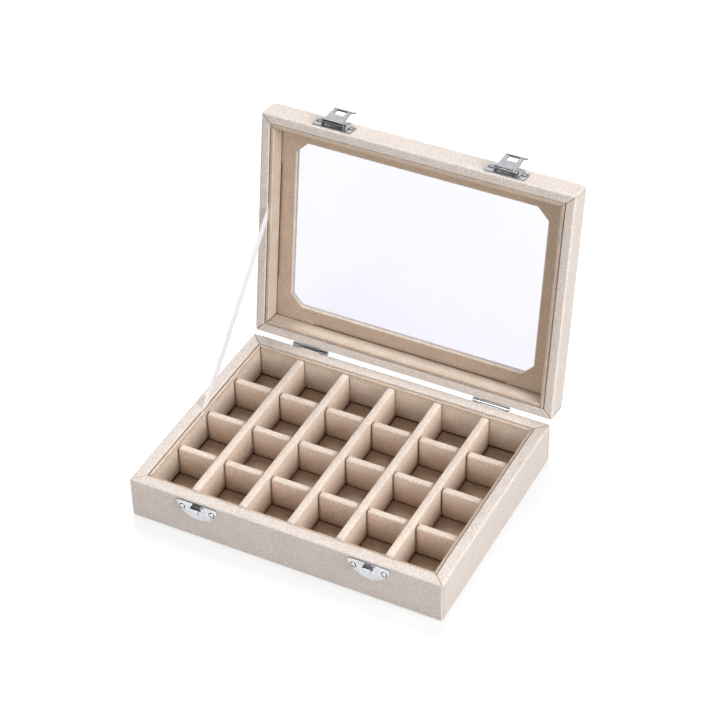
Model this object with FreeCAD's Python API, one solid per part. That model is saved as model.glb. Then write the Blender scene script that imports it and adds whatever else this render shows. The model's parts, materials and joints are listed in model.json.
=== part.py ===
import FreeCAD, Part
import math
import os

# A velvet jewelry box that stands open: a divided tray, a lid with a glass window, two butt hinges,
# two toggle latches and a ribbon that stops the lid. Sizes are in millimetres. X runs to the right,
# Y to the back and Z up, and the origin is the middle of the underside. Everything on the lid is
# made with the lid shut, and then turned open about the hinge pins.

# Whole box
box_width = 200.0
box_depth = 150.0
base_height = 28.5       # table to rim
lid_height = 16.2
seam_gap = 0.3           # between the rim and the shut lid
open_angle = 98.0        # how far the ribbon lets the lid open

# Cloth and boards
cloth = 0.8
base_board = 5.4
lid_board = 4.2
bottom_board = 2.4
underside_sheet = 0.6
underside_inset = 4.0    # edge of the box to edge of the underside sheet
turn_in = 12.0           # cloth turned under the bottom board
edge_round = 2.2 * cloth  # leaves cloth over the square edges of the boards
rim_round = 0.7 * cloth   # inner edge of the rim

# Tray
slit = 0.5               # open slit between a wall and its liner
tray_liner = 1.7
tray_liner_drop = 0.3    # top of the liner below the rim
tray_floor = 2.2
floor_clearance = 0.2
columns = 6
rows = 4
long_divider = 5.0
long_divider_drop = 1.5
cross_divider = 4.6
cross_divider_drop = 3.2

# Lid
lid_liner = 2.4
lid_liner_drop = 0.4
top_card = 1.2
glass = 1.5
glass_clearance = 0.4
retainer = 1.6
retainer_clearance = 0.2
window_margin = 19.0     # side of the lid to the retainer's opening
window_corner = 6.5      # cut across the corners of the opening
window_step = 0.5        # the opening in the top is this much wider all round

# Hinges
hinge_inset = 39.0       # side of the box to middle of a hinge
hinge_length = 23.6
end_knuckle = 5.6
knuckle_gap = 0.2
knuckle_radius = 1.2
knuckle_clearance = 0.3
pin_setback = 1.3        # pin behind the back face
hinge_pin_radius = 0.55
leaf = 0.6
leaf_height = 11.0
leaf_corner = 1.5
leaf_screw_spacing = 14.0
leaf_screw_height = 7.0  # pin to screw

# Screws
screw_shank_radius = 0.7
screw_head_radius = 1.5
screw_head_height = 0.7
screw_reach = 4.6        # below the head
screw_cross_length = 1.7
screw_cross_width = 0.35
screw_cross_depth = 0.3

# Catches, on the front of the base
latch_inset = 45.0       # side of the box to middle of a latch
catch_width = 26.5
catch_height = 11.6
catch_drop = 1.5         # rim to top of the catch
catch_corner = 2.2
plate_thickness = 0.8
catch_screw_spacing = 19.3
catch_screw_drop = 4.6   # top of the catch to its screws
hook_width = 5.2
hook_drop = 0.7          # top of the catch to top of the hook
hook_length = 4.0
hook_depth = 3.1         # plate to front of the hook
hook_nose = 0.6          # bevel over the top of the hook

# Latches, on the front of the lid
latch_plate_width = 25.0
latch_plate_height = 9.2
latch_plate_rise = 1.8   # lower edge of the lid to lower edge of the plate
latch_plate_corner = 1.0
latch_screw_spacing = 20.4
latch_screw_rise = 7.4   # lower edge of the lid to the screws
latch_pin_rise = 5.0
latch_pin_depth = 1.9    # plate to pin
latch_pin_radius = 0.7
ear = 1.0
ear_radius = 1.6
ear_clearance = 0.25
eye_radius = 1.5
pin_clearance = 0.05
lever_sheet = 0.9
lever_width = 12.0
lever_waist = 11.0
lever_dip = 0.45         # how far the latched lever lies inside the pin where its slot starts
lever_slot_side = 0.7    # room beside the hook
lever_slot_top = 1.0     # room above the hook
lever_slot_end = 0.4     # room below the hook's tip
lever_bridge = 1.4
bill_length = 2.8
bill_width = 13.5
bill_curl = 2.5          # how far the tip curls out
bill_corner = 1.6
lever_flip = 165.0       # from latched to folded back
lever_steps = 8          # points along each face of the bent sheet

# Ribbon
ribbon_width = 6.0
ribbon = 0.25
ribbon_tuck = 8.0        # hidden in each slit
ribbon_base_reach = 75.1  # hinge pin to where it leaves the base
ribbon_lid_reach = 85.1   # hinge pin to where it leaves the lid

# Worked out from the above
half_width = box_width / 2
half_depth = box_depth / 2
base_wall = base_board + 2 * cloth
lid_wall = lid_board + 2 * cloth
skin_bottom = underside_sheet
board_bottom = skin_bottom + cloth
tray_bottom = board_bottom + bottom_board
floor_top = tray_bottom + tray_floor
lid_bottom = base_height + seam_gap
lid_top = lid_bottom + lid_height
card_bottom = lid_top - cloth - top_card
glass_bottom = card_bottom - glass
retainer_bottom = glass_bottom - retainer
hinge_reach = half_width - hinge_inset
latch_reach = half_width - latch_inset
hinge_y = half_depth + pin_setback
hinge_z = base_height + seam_gap / 2
tray_half_width = half_width - base_wall - slit - tray_liner
tray_half_depth = half_depth - base_wall - slit - tray_liner
cell_width = (2 * tray_half_width - (columns - 1) * long_divider) / columns
cell_depth = (2 * tray_half_depth - (rows - 1) * cross_divider) / rows
lap_height = (floor_top + base_height - cross_divider_drop) / 2
plate_front = -half_depth - plate_thickness
catch_top = base_height - catch_drop
hook_top = catch_top - hook_drop
hook_tip = hook_top - hook_length
latch_pin_y = plate_front - latch_pin_depth
latch_pin_z = lid_bottom + latch_pin_rise
slot_start = latch_pin_z - hook_top - lever_slot_top
slot_end = latch_pin_z - hook_tip + lever_slot_end
lever_length = slot_end + lever_bridge + bill_length
far = 10 * box_width     # longer than any piece, for cuts that go right through

x_axis = FreeCAD.Vector(1, 0, 0)
forward = FreeCAD.Vector(0, -1, 0)
backward = FreeCAD.Vector(0, 1, 0)
nodes = {}


def block(x_low, x_high, y_low, y_high, z_low, z_high):
    corner = FreeCAD.Vector(x_low, y_low, z_low)
    return Part.makeBox(x_high - x_low, y_high - y_low, z_high - z_low, corner)


def slab(half_x, half_y, z_low, z_high):
    return block(-half_x, half_x, -half_y, half_y, z_low, z_high)


def rod(x_low, x_high, y, z, radius):
    """A round bar along X."""
    return Part.makeCylinder(radius, x_high - x_low, FreeCAD.Vector(x_low, y, z), x_axis)


def plan_prism(points, z_low, z_high):
    """A plan outline of (x, y) points, raised from z_low to z_high."""
    corners = [FreeCAD.Vector(x, y, z_low) for x, y in points]
    outline = Part.makePolygon(corners + corners[:1])
    return Part.Face(outline).extrude(FreeCAD.Vector(0, 0, z_high - z_low))


def side_prism(points, x_low, x_high):
    """A side outline of (y, z) points, drawn out from x_low to x_high."""
    corners = [FreeCAD.Vector(x_low, y, z) for y, z in points]
    outline = Part.makePolygon(corners + corners[:1])
    return Part.Face(outline).extrude(FreeCAD.Vector(x_high - x_low, 0, 0))


def cut_all(shape, tools):
    for tool in tools:
        shape = shape.cut(tool)
    return shape


def round_edges(shape, radius, chosen, direction=None):
    """Round each edge whose ends the test accepts and, if one is given, that runs in the direction."""
    edges = [edge for edge in shape.Edges if all(chosen(v.Point) for v in edge.Vertexes)]
    if direction is not None:
        edges = [edge for edge in edges if near(abs(edge.tangentAt(edge.FirstParameter).dot(direction)), 1)]
    return shape.makeFillet(radius, edges)


def near(value, target):
    return abs(value - target) < 1e-6


def opened(shape):
    """Turn a piece of the shut lid to where it is with the lid open."""
    turned = shape.copy()
    turned.rotate(FreeCAD.Vector(0, hinge_y, hinge_z), x_axis, -open_angle)
    return turned


def opened_point(point):
    return opened(Part.Vertex(point)).Point


def walls(half_x, half_y, thickness, z_low, z_high):
    """Four butted wall boards: front and back run full length, the sides stand between them."""
    inner_y = half_y - thickness
    return {
        "front": block(-half_x, half_x, -half_y, -inner_y, z_low, z_high),
        "back": block(-half_x, half_x, inner_y, half_y, z_low, z_high),
        "left": block(-half_x, thickness - half_x, -inner_y, inner_y, z_low, z_high),
        "right": block(half_x - thickness, half_x, -inner_y, inner_y, z_low, z_high),
    }


def mitred_strips(half_x, half_y, thickness, z_low, z_high):
    """Four strips round the inside of a wall, mitred where they meet."""
    in_x = half_x - thickness
    in_y = half_y - thickness
    plans = {
        "front": [(-half_x, -half_y), (half_x, -half_y), (in_x, -in_y), (-in_x, -in_y)],
        "back": [(half_x, half_y), (-half_x, half_y), (-in_x, in_y), (in_x, in_y)],
        "left": [(-half_x, half_y), (-half_x, -half_y), (-in_x, -in_y), (-in_x, in_y)],
        "right": [(half_x, -half_y), (half_x, half_y), (in_x, in_y), (in_x, -in_y)],
    }
    return {side: plan_prism(plan, z_low, z_high) for side, plan in plans.items()}


def window(margin, corner, z_low, z_high):
    """The window's opening, with its corners cut across."""
    x = half_width - margin
    y = half_depth - margin
    points = [
        (corner - x, -y), (x - corner, -y), (x, corner - y), (x, y - corner),
        (x - corner, y), (corner - x, y), (-x, y - corner), (-x, corner - y),
    ]
    return plan_prism(points, z_low, z_high)


def screw(x, y, z, outward):
    """A domed screw with a crossed recess. Its head sits at (x, y, z) and faces outward."""
    dome_radius = (screw_head_radius ** 2 + screw_head_height ** 2) / (2 * screw_head_height)
    ball = Part.makeSphere(dome_radius, FreeCAD.Vector(0, 0, screw_head_height - dome_radius))
    head = ball.common(slab(screw_head_radius, screw_head_radius, 0, screw_head_height))
    shank = Part.makeCylinder(screw_shank_radius, screw_reach, FreeCAD.Vector(0, 0, -screw_reach))
    solid = head.fuse(shank).removeSplitter()
    recess_bottom = screw_head_height - screw_cross_depth
    long_half = screw_cross_length / 2
    short_half = screw_cross_width / 2
    for half_x, half_y in ((long_half, short_half), (short_half, long_half)):
        solid = solid.cut(slab(half_x, half_y, recess_bottom, far))
    turn = FreeCAD.Rotation(FreeCAD.Vector(0, 0, 1), outward)
    solid.Placement = FreeCAD.Placement(FreeCAD.Vector(x, y, z), turn)
    return solid


def shank_hole(x, y, z, outward):
    """The round hole that a screw's shank fills."""
    start = FreeCAD.Vector(x, y, z)
    return Part.makeCylinder(screw_shank_radius, screw_reach, start, -outward)


def pair(middle, spacing):
    return (middle - spacing / 2, middle + spacing / 2)


def sides():
    return (("left", -1), ("right", 1))


# Screw places: the x, y, z of the seat and the way the head faces
hinge_seat_y = half_depth + leaf
leaf_screw_xs = [x for _, sign in sides() for x in pair(sign * hinge_reach, leaf_screw_spacing)]
catch_screw_xs = [x for _, sign in sides() for x in pair(sign * latch_reach, catch_screw_spacing)]
latch_screw_xs = [x for _, sign in sides() for x in pair(sign * latch_reach, latch_screw_spacing)]
hinge_base_seats = [(x, hinge_seat_y, hinge_z - leaf_screw_height, backward) for x in leaf_screw_xs]
hinge_lid_seats = [(x, hinge_seat_y, hinge_z + leaf_screw_height, backward) for x in leaf_screw_xs]
catch_seats = [(x, plate_front, catch_top - catch_screw_drop, forward) for x in catch_screw_xs]
latch_seats = [(x, plate_front, lid_bottom + latch_screw_rise, forward) for x in latch_screw_xs]
base_holes = [shank_hole(*seat) for seat in hinge_base_seats + catch_seats]
lid_holes = [shank_hole(*seat) for seat in hinge_lid_seats + latch_seats]


def base_boards():
    boards = walls(half_width - cloth, half_depth - cloth, base_board, tray_bottom, base_height - cloth)
    for side, board in boards.items():
        nodes["base_%s_board" % side] = cut_all(board, base_holes)
    plate = slab(half_width - cloth, half_depth - cloth, board_bottom, tray_bottom)
    field = slab(half_width - turn_in, half_depth - turn_in, skin_bottom, board_bottom)
    nodes["base_bottom_board"] = plate.fuse(field).removeSplitter()


def base_velvet():
    """The cloth round the walls: outside, over the rim, down the inside and turned under."""
    body = slab(half_width, half_depth, skin_bottom, base_height)
    body = body.makeFillet(edge_round, body.Edges)
    body = body.cut(slab(half_width - base_wall, half_depth - base_wall, tray_bottom, far))

    def inner_rim(point):
        inside = near(abs(point.x), half_width - base_wall) and near(abs(point.y), half_depth - base_wall)
        return inside and near(point.z, base_height)

    body = round_edges(body, rim_round, inner_rim)
    boards = [nodes["base_%s_board" % side] for side in ("front", "back", "left", "right")]
    body = cut_all(body, boards + [nodes["base_bottom_board"]] + base_holes)
    nodes["base_velvet"] = body
    sheet_half_x = half_width - underside_inset
    sheet_half_y = half_depth - underside_inset
    nodes["underside_sheet"] = slab(sheet_half_x, sheet_half_y, 0, skin_bottom)


def tray_linings():
    reach = base_wall + floor_clearance
    nodes["tray_floor"] = slab(half_width - reach, half_depth - reach, tray_bottom, floor_top)
    outer = base_wall + slit
    liner_top = base_height - tray_liner_drop
    strips = mitred_strips(half_width - outer, half_depth - outer, tray_liner, floor_top, liner_top)
    for side, strip in strips.items():
        nodes["tray_liner_%s" % side] = strip


def long_divider_x(index):
    return -tray_half_width + (index + 1) * cell_width + (index + 0.5) * long_divider


def cross_divider_y(index):
    return -tray_half_depth + (index + 1) * cell_depth + (index + 0.5) * cross_divider


def tray_dividers():
    """Round-topped dividers, half-lapped: the long ones are notched below, the cross ones above."""
    radius = long_divider / 2
    top = base_height - long_divider_drop
    ridge_start = FreeCAD.Vector(0, -tray_half_depth, top - radius)
    ridge = Part.makeCylinder(radius, 2 * tray_half_depth, ridge_start, backward)
    wall = slab(radius, tray_half_depth, floor_top, top - radius).fuse(ridge).removeSplitter()
    notches = [
        block(-far, far, *pair(cross_divider_y(row), cross_divider), floor_top - far, lap_height)
        for row in range(rows - 1)
    ]
    wall = cut_all(wall, notches)
    for column in range(columns - 1):
        place = FreeCAD.Vector(long_divider_x(column), 0, 0)
        nodes["long_divider_%d" % (column + 1)] = wall.translated(place)
    radius = cross_divider / 2
    top = base_height - cross_divider_drop
    ridge = rod(-tray_half_width, tray_half_width, 0, top - radius, radius)
    wall = slab(tray_half_width, radius, floor_top, top - radius).fuse(ridge).removeSplitter()
    notches = [
        block(*pair(long_divider_x(column), long_divider), -far, far, lap_height, far)
        for column in range(columns - 1)
    ]
    wall = cut_all(wall, notches)
    for row in range(rows - 1):
        place = FreeCAD.Vector(0, cross_divider_y(row), 0)
        nodes["cross_divider_%d" % (row + 1)] = wall.translated(place)


def lid_shell():
    """The lid's boards, its card frame and the cloth over them."""
    boards = walls(half_width - cloth, half_depth - cloth, lid_board, lid_bottom + cloth, card_bottom)
    boards = {side: cut_all(board, lid_holes) for side, board in boards.items()}
    top_margin = window_margin - window_step
    card = slab(half_width - cloth, half_depth - cloth, card_bottom, lid_top - cloth)
    card = card.cut(window(top_margin - cloth, window_corner, card_bottom - far, lid_top + far))
    body = slab(half_width, half_depth, lid_bottom, lid_top)
    body = body.makeFillet(edge_round, body.Edges)
    body = body.cut(slab(half_width - lid_wall, half_depth - lid_wall, lid_bottom - far, card_bottom))

    def inner_rim(point):
        inside = near(abs(point.x), half_width - lid_wall) and near(abs(point.y), half_depth - lid_wall)
        return inside and near(point.z, lid_bottom)

    body = round_edges(body, rim_round, inner_rim)
    body = body.cut(window(top_margin, window_corner, card_bottom - far, lid_top + far))
    body = cut_all(body, list(boards.values()) + [card] + lid_holes)
    for side, board in boards.items():
        nodes["lid_%s_board" % side] = opened(board)
    nodes["lid_top_card"] = opened(card)
    nodes["lid_velvet"] = opened(body)


def lid_window():
    """The pane, the covered frame that holds it and the strips that hold the frame."""
    reach = lid_wall + glass_clearance
    pane = slab(half_width - reach, half_depth - reach, glass_bottom, card_bottom)
    nodes["glass_pane"] = opened(pane)
    reach = lid_wall + retainer_clearance
    frame = slab(half_width - reach, half_depth - reach, retainer_bottom, glass_bottom)
    frame = frame.cut(window(window_margin, window_corner, retainer_bottom - far, glass_bottom + far))
    nodes["glass_retainer"] = opened(frame)
    outer = lid_wall + slit
    low = lid_bottom + lid_liner_drop
    strips = mitred_strips(half_width - outer, half_depth - outer, lid_liner, low, retainer_bottom)
    for side, strip in strips.items():
        nodes["lid_liner_%s" % side] = opened(strip)


def hinge_leaf(middle, upward, own_spans, other_spans, bore_radius):
    """A leaf rolled round the pin at its own spans and cut clear of the other leaf's knuckles."""
    half = hinge_length / 2
    low, high = sorted((hinge_z, hinge_z + upward * leaf_height))
    body = block(-half, half, half_depth, half_depth + leaf, low, high)
    edge_z = hinge_z + upward * leaf_height
    body = round_edges(body, leaf_corner, lambda p: near(p.z, edge_z), backward)
    swing = knuckle_radius + knuckle_clearance
    for start, end in other_spans:
        room = block(start - knuckle_gap, end + knuckle_gap, -far, far, hinge_z - swing, hinge_z + swing)
        body = body.cut(room)
    for start, end in own_spans:
        body = body.fuse(rod(start, end, hinge_y, hinge_z, knuckle_radius))
    body = body.cut(rod(-half, half, hinge_y, hinge_z, bore_radius)).removeSplitter()
    return body.translated(FreeCAD.Vector(middle, 0, 0))


def hinges():
    half = hinge_length / 2
    inner = half - end_knuckle
    end_spans = ((-half, -inner), (inner, half))
    middle_span = ((knuckle_gap - inner, inner - knuckle_gap),)
    for side, sign in sides():
        middle = sign * hinge_reach
        base_leaf = hinge_leaf(middle, -1, end_spans, middle_span, hinge_pin_radius)
        lid_leaf = hinge_leaf(middle, 1, middle_span, end_spans, hinge_pin_radius + pin_clearance)
        nodes["hinge_%s_base_leaf" % side] = cut_all(base_leaf, base_holes)
        nodes["hinge_%s_lid_leaf" % side] = opened(cut_all(lid_leaf, lid_holes))
        nodes["hinge_%s_pin" % side] = rod(middle - half, middle + half, hinge_y, hinge_z, hinge_pin_radius)
    nodes["hinge_base_screws"] = Part.makeCompound([screw(*seat) for seat in hinge_base_seats])
    nodes["hinge_lid_screws"] = opened(Part.makeCompound([screw(*seat) for seat in hinge_lid_seats]))


def catch(middle):
    """A half-moon plate with a hook pressed out of it."""
    half = catch_width / 2
    shoulder = catch_top - catch_corner
    lean = catch_corner * (1 - math.sqrt(0.5))

    def at(x, z):
        return FreeCAD.Vector(x, plate_front, z)

    edges = [
        Part.LineSegment(at(catch_corner - half, catch_top), at(half - catch_corner, catch_top)),
        Part.Arc(at(half - catch_corner, catch_top), at(half - lean, catch_top - lean), at(half, shoulder)),
        Part.Arc(at(half, shoulder), at(0, catch_top - catch_height), at(-half, shoulder)),
        Part.Arc(at(-half, shoulder), at(lean - half, catch_top - lean), at(catch_corner - half, catch_top)),
    ]
    outline = Part.Wire([edge.toShape() for edge in edges])
    plate = Part.Face(outline).extrude(FreeCAD.Vector(0, plate_thickness, 0))
    hook_half = hook_width / 2
    hook_front = plate_front - hook_depth
    under = hook_top - plate_thickness
    plate = plate.cut(block(-hook_half, hook_half, -far, far, hook_tip, under))
    hook_back = hook_front + plate_thickness
    profile = [
        (plate_front, hook_top), (hook_front + hook_nose, hook_top), (hook_front, hook_top - hook_nose),
        (hook_front, hook_tip), (hook_back, hook_tip), (hook_back, under), (plate_front, under),
    ]
    plate = plate.fuse(side_prism(profile, -hook_half, hook_half)).removeSplitter()
    return cut_all(plate.translated(FreeCAD.Vector(middle, 0, 0)), base_holes)


def latch_plate(middle):
    """The plate on the lid, with two ears that carry the lever's pin."""
    half = latch_plate_width / 2
    low = lid_bottom + latch_plate_rise
    high = low + latch_plate_height
    body = block(-half, half, plate_front, -half_depth, low, high)
    body = round_edges(body, latch_plate_corner, lambda p: near(abs(p.x), half), backward)
    eye_half = lever_width / 2 + ear_clearance
    eye_room = eye_radius + ear_clearance
    body = body.cut(block(-eye_half, eye_half, -far, far, latch_pin_z - eye_room, latch_pin_z + eye_room))
    ear_low = latch_pin_z - ear_radius
    ear_high = latch_pin_z + ear_radius
    for start in (-eye_half - ear, eye_half):
        end = start + ear
        post = block(start, end, latch_pin_y, plate_front, ear_low, ear_high)
        body = body.fuse(post).fuse(rod(start, end, latch_pin_y, latch_pin_z, ear_radius))
    reach = eye_half + ear
    body = body.cut(rod(-reach, reach, latch_pin_y, latch_pin_z, latch_pin_radius)).removeSplitter()
    return cut_all(body.translated(FreeCAD.Vector(middle, 0, 0)), lid_holes)


def lever_section():
    """The lever's bent sheet seen from the side, hanging straight down from the pin."""
    under_pin = eye_radius - lever_sheet / 2
    at_hook = hook_depth - plate_thickness / 2 - latch_pin_depth
    bridge = slot_end + lever_bridge / 2
    middle_line = [
        (0.0, -under_pin), (slot_start, -lever_dip), (bridge, at_hook), (lever_length, at_hook + bill_curl),
    ]
    points = [FreeCAD.Vector(0, latch_pin_y - out, latch_pin_z - down) for down, out in middle_line]
    curve = Part.BSplineCurve()
    curve.interpolate(points)
    first = curve.FirstParameter
    last = curve.LastParameter
    inner = []
    outer = []
    for step in range(lever_steps + 1):
        at = first + (last - first) * step / lever_steps
        tangent = FreeCAD.Vector(*curve.tangent(at)[0])
        across = tangent.cross(x_axis).normalize() * (lever_sheet / 2)
        inner.append(curve.value(at) - across)
        outer.append(curve.value(at) + across)
    faces = []
    for line in (inner, outer):
        face = Part.BSplineCurve()
        face.interpolate(line)
        faces.append(face.toShape())
    ends = [Part.LineSegment(inner[0], outer[0]).toShape(), Part.LineSegment(inner[-1], outer[-1]).toShape()]
    return Part.Face(Part.Wire(Part.__sortEdges__(faces + ends)))


def lever_outline():
    """The lever's front outline: straight at the eye, waisted at the bridge and flared at the bill."""
    root = lever_width / 2
    waist = lever_waist / 2
    tip = bill_width / 2
    bridge = slot_end
    end = lever_length + lever_sheet

    def at(x, down):
        return FreeCAD.Vector(x, 0, latch_pin_z - down)

    lean = bill_corner * (1 - math.sqrt(0.5))
    right = [
        at(root, -eye_radius), at(root, slot_start), at(waist, bridge),
        at(tip, end - bill_corner), at(tip - lean, end - lean), at(tip - bill_corner, end),
    ]
    left = [FreeCAD.Vector(-point.x, point.y, point.z) for point in reversed(right)]
    outline = Part.makePolygon(right + left + right[:1])
    return Part.Face(outline)


def latch_lever(middle):
    """The sprung sheet lever: an eye round the pin, a slot for the hook and a curled bill."""
    sheet = lever_section().translated(x_axis * -bill_width).extrude(x_axis * 2 * bill_width)
    front = lever_outline().translated(forward * far).extrude(backward * 2 * far)
    body = sheet.common(front)
    eye = rod(-lever_width / 2, lever_width / 2, latch_pin_y, latch_pin_z, eye_radius)
    bore_radius = latch_pin_radius + pin_clearance
    bore = rod(-lever_width, lever_width, latch_pin_y, latch_pin_z, bore_radius)
    body = body.fuse(eye).cut(bore)
    slot_half = hook_width / 2 + lever_slot_side
    slot = block(-slot_half, slot_half, -far, far, latch_pin_z - slot_end, latch_pin_z - slot_start)
    body = body.cut(slot).removeSplitter()
    body.rotate(FreeCAD.Vector(0, latch_pin_y, latch_pin_z), x_axis, -lever_flip)
    return body.translated(FreeCAD.Vector(middle, 0, 0))


def latches():
    pin_half = lever_width / 2 + ear_clearance + ear
    for side, sign in sides():
        middle = sign * latch_reach
        pin = rod(middle - pin_half, middle + pin_half, latch_pin_y, latch_pin_z, latch_pin_radius)
        nodes["catch_%s" % side] = catch(middle)
        nodes["latch_%s_plate" % side] = opened(latch_plate(middle))
        nodes["latch_%s_pin" % side] = opened(pin)
        nodes["latch_%s_lever" % side] = opened(latch_lever(middle))
    nodes["catch_screws"] = Part.makeCompound([screw(*seat) for seat in catch_seats])
    nodes["latch_screws"] = opened(Part.makeCompound([screw(*seat) for seat in latch_seats]))


def stay_ribbon():
    """A flat ribbon pulled tight from the left slit of the base to the left slit of the lid."""
    base_x = base_wall + slit / 2 - half_width
    lid_x = lid_wall + slit / 2 - half_width
    low = FreeCAD.Vector(base_x, hinge_y - ribbon_base_reach, base_height)
    high = opened_point(FreeCAD.Vector(lid_x, hinge_y - ribbon_lid_reach, lid_bottom))
    along = (high - low).normalize()
    across = along.cross(x_axis).normalize() * (ribbon_width / 2)
    thick = x_axis * (ribbon / 2)
    sections = []
    for end in (low - along * ribbon_tuck, high + along * ribbon_tuck):
        corners = [end + across + thick, end + across - thick, end - across - thick, end - across + thick]
        sections.append(Part.makePolygon(corners + corners[:1]))
    nodes["stay_ribbon"] = Part.makeLoft(sections, True, True)


def main():
    base_boards()
    base_velvet()
    tray_linings()
    tray_dividers()
    lid_shell()
    lid_window()
    hinges()
    latches()
    stay_ribbon()
    os.makedirs("parts", exist_ok=True)
    for name, shape in nodes.items():
        solids = shape.Solids
        print(name, len(solids), "solid(s)", round(sum(solid.Volume for solid in solids), 2), shape.isValid())
        shape.exportStep("parts/%s.step" % name)


main()
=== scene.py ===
"""Looks of a beige velvet jewelry box that stands open.

Sizes are in millimetres, as in the part's source, and become metres when a mesh is made. X runs to the
right, Y to the back and Z up. Pieces of the lid are drawn with the lid shut and then turned open.
"""

import json
import logging
import math
from abc import ABC, abstractmethod
from dataclasses import dataclass
from enum import Enum
from typing import Any, NamedTuple, Sequence

import bmesh
import bpy
import numpy as np
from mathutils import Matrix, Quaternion, Vector

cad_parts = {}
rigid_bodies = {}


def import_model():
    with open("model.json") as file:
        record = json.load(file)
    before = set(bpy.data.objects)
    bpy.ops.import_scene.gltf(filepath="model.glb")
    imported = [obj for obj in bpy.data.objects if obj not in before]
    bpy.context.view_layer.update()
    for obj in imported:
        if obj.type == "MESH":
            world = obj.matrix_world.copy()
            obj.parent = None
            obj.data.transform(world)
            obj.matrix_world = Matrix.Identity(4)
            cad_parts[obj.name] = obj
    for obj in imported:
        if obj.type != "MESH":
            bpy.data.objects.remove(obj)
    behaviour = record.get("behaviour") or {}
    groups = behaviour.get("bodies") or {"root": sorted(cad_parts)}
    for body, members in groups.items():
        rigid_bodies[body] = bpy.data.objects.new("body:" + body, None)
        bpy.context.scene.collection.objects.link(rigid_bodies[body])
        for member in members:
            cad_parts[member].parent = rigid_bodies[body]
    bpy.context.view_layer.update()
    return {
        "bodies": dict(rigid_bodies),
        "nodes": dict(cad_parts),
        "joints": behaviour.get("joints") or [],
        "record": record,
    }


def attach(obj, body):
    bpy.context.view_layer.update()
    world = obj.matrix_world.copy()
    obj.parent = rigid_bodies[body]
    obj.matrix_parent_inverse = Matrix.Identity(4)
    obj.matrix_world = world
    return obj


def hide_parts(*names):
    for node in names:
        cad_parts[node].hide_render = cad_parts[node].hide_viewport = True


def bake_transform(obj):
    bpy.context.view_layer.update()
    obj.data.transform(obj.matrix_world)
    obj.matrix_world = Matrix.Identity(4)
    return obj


LOG = logging.getLogger("jewelry_box")
MM = 0.001
# A mark on points and faces, from -1 to 1: above 0 paler from rubbing on edges and as painted light on
# divider and liner faces; below 0 painted shade in creases, slits, recesses and on metal cut edges and pins
WEAR_AND_SHADING = "wear"
FACING = "facing"
SIDES = ("front", "back", "left", "right")
FULL = (0.0, 1.0)
MIDDLE = (0.3, 0.7)  # where most of a noise's values lie
FADED = 3.0  # in how many reaches a falloff has all but gone
QUARTER = math.pi / 2
WHITE = (1.0, 1.0, 1.0, 1.0)

Rgb = tuple[int, int, int]
Span = tuple[float, float]
Place = tuple[float, float, float]
Faces = list[tuple[int, ...]]
Material = bpy.types.Material
Mesh = bpy.types.Mesh
Node = bpy.types.Node
Piece = bpy.types.Object
Socket = bpy.types.NodeSocket


class Body(Enum):
    """The rigid bodies that pieces ride on."""

    BASE = "base"
    LID = "lid"
    LEFT_LATCH = "left_latch"
    RIGHT_LATCH = "right_latch"


class Slot(Enum):
    """The record's material slots."""

    OUTER_VELVET = "outer_velvet"
    LINING_VELVET = "lining_velvet"
    DIVIDER_VELVET = "divider_velvet"
    UNDERSIDE = "underside"
    BOARD = "board"
    CARD = "card"
    GLASS = "glass"
    CHROME = "chrome"
    RIBBON = "ribbon"


class Zone(Enum):
    """Where a point of a wrapped wall's section lies."""

    UNDER = "under"
    SIDE = "side"
    RIM = "rim"
    INSIDE = "inside"
    TOP = "top"
    WINDOW = "window"
    HIDDEN = "hidden"


def linear(colour: Rgb) -> tuple[float, float, float, float]:
    """Turns a colour as seen on screen into the linear values that shaders take.

    Args:
        colour: red, green and blue from 0 to 255.

    Returns:
        Linear red, green, blue and an alpha of 1.
    """
    shares = [level / 255 for level in colour]
    values = [s / 12.92 if s <= 0.04045 else ((s + 0.055) / 1.055) ** 2.4 for s in shares]
    return (values[0], values[1], values[2], 1.0)


def grey(level: float) -> tuple[float, float, float, float]:
    """Gives a grey of a linear level, as shaders take it."""
    return (level, level, level, 1.0)


class TreeBuilder:
    """A tree of nodes while it is put together."""

    def __init__(self, tree: bpy.types.NodeTree) -> None:
        """Starts from that tree, emptied."""
        self.tree = tree
        self.tree.nodes.clear()

    def add(self, kind: str, inputs: dict[str | int, Any] | None = None, **settings: Any) -> Node:
        """Adds a node.

        Args:
            kind: the node's kind.
            inputs: what its inputs are fed, by their name or number.
            settings: its other settings.

        Returns:
            The new node.
        """
        node = self.tree.nodes.new(kind)
        for key, value in settings.items():
            setattr(node, key, value)
        for key, value in (inputs or {}).items():
            self.feed(node.inputs[key], value)
        return node

    def feed(self, socket: Socket, value: Any) -> None:
        """Links a socket to another, or sets its plain value."""
        if isinstance(value, Socket):
            self.tree.links.new(value, socket)
        else:
            socket.default_value = value

    def number(self, operation: str, first: Any, second: Any) -> Socket:
        """Works out one number from two."""
        return self.add("ShaderNodeMath", {0: first, 1: second}, operation=operation).outputs[0]


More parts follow.
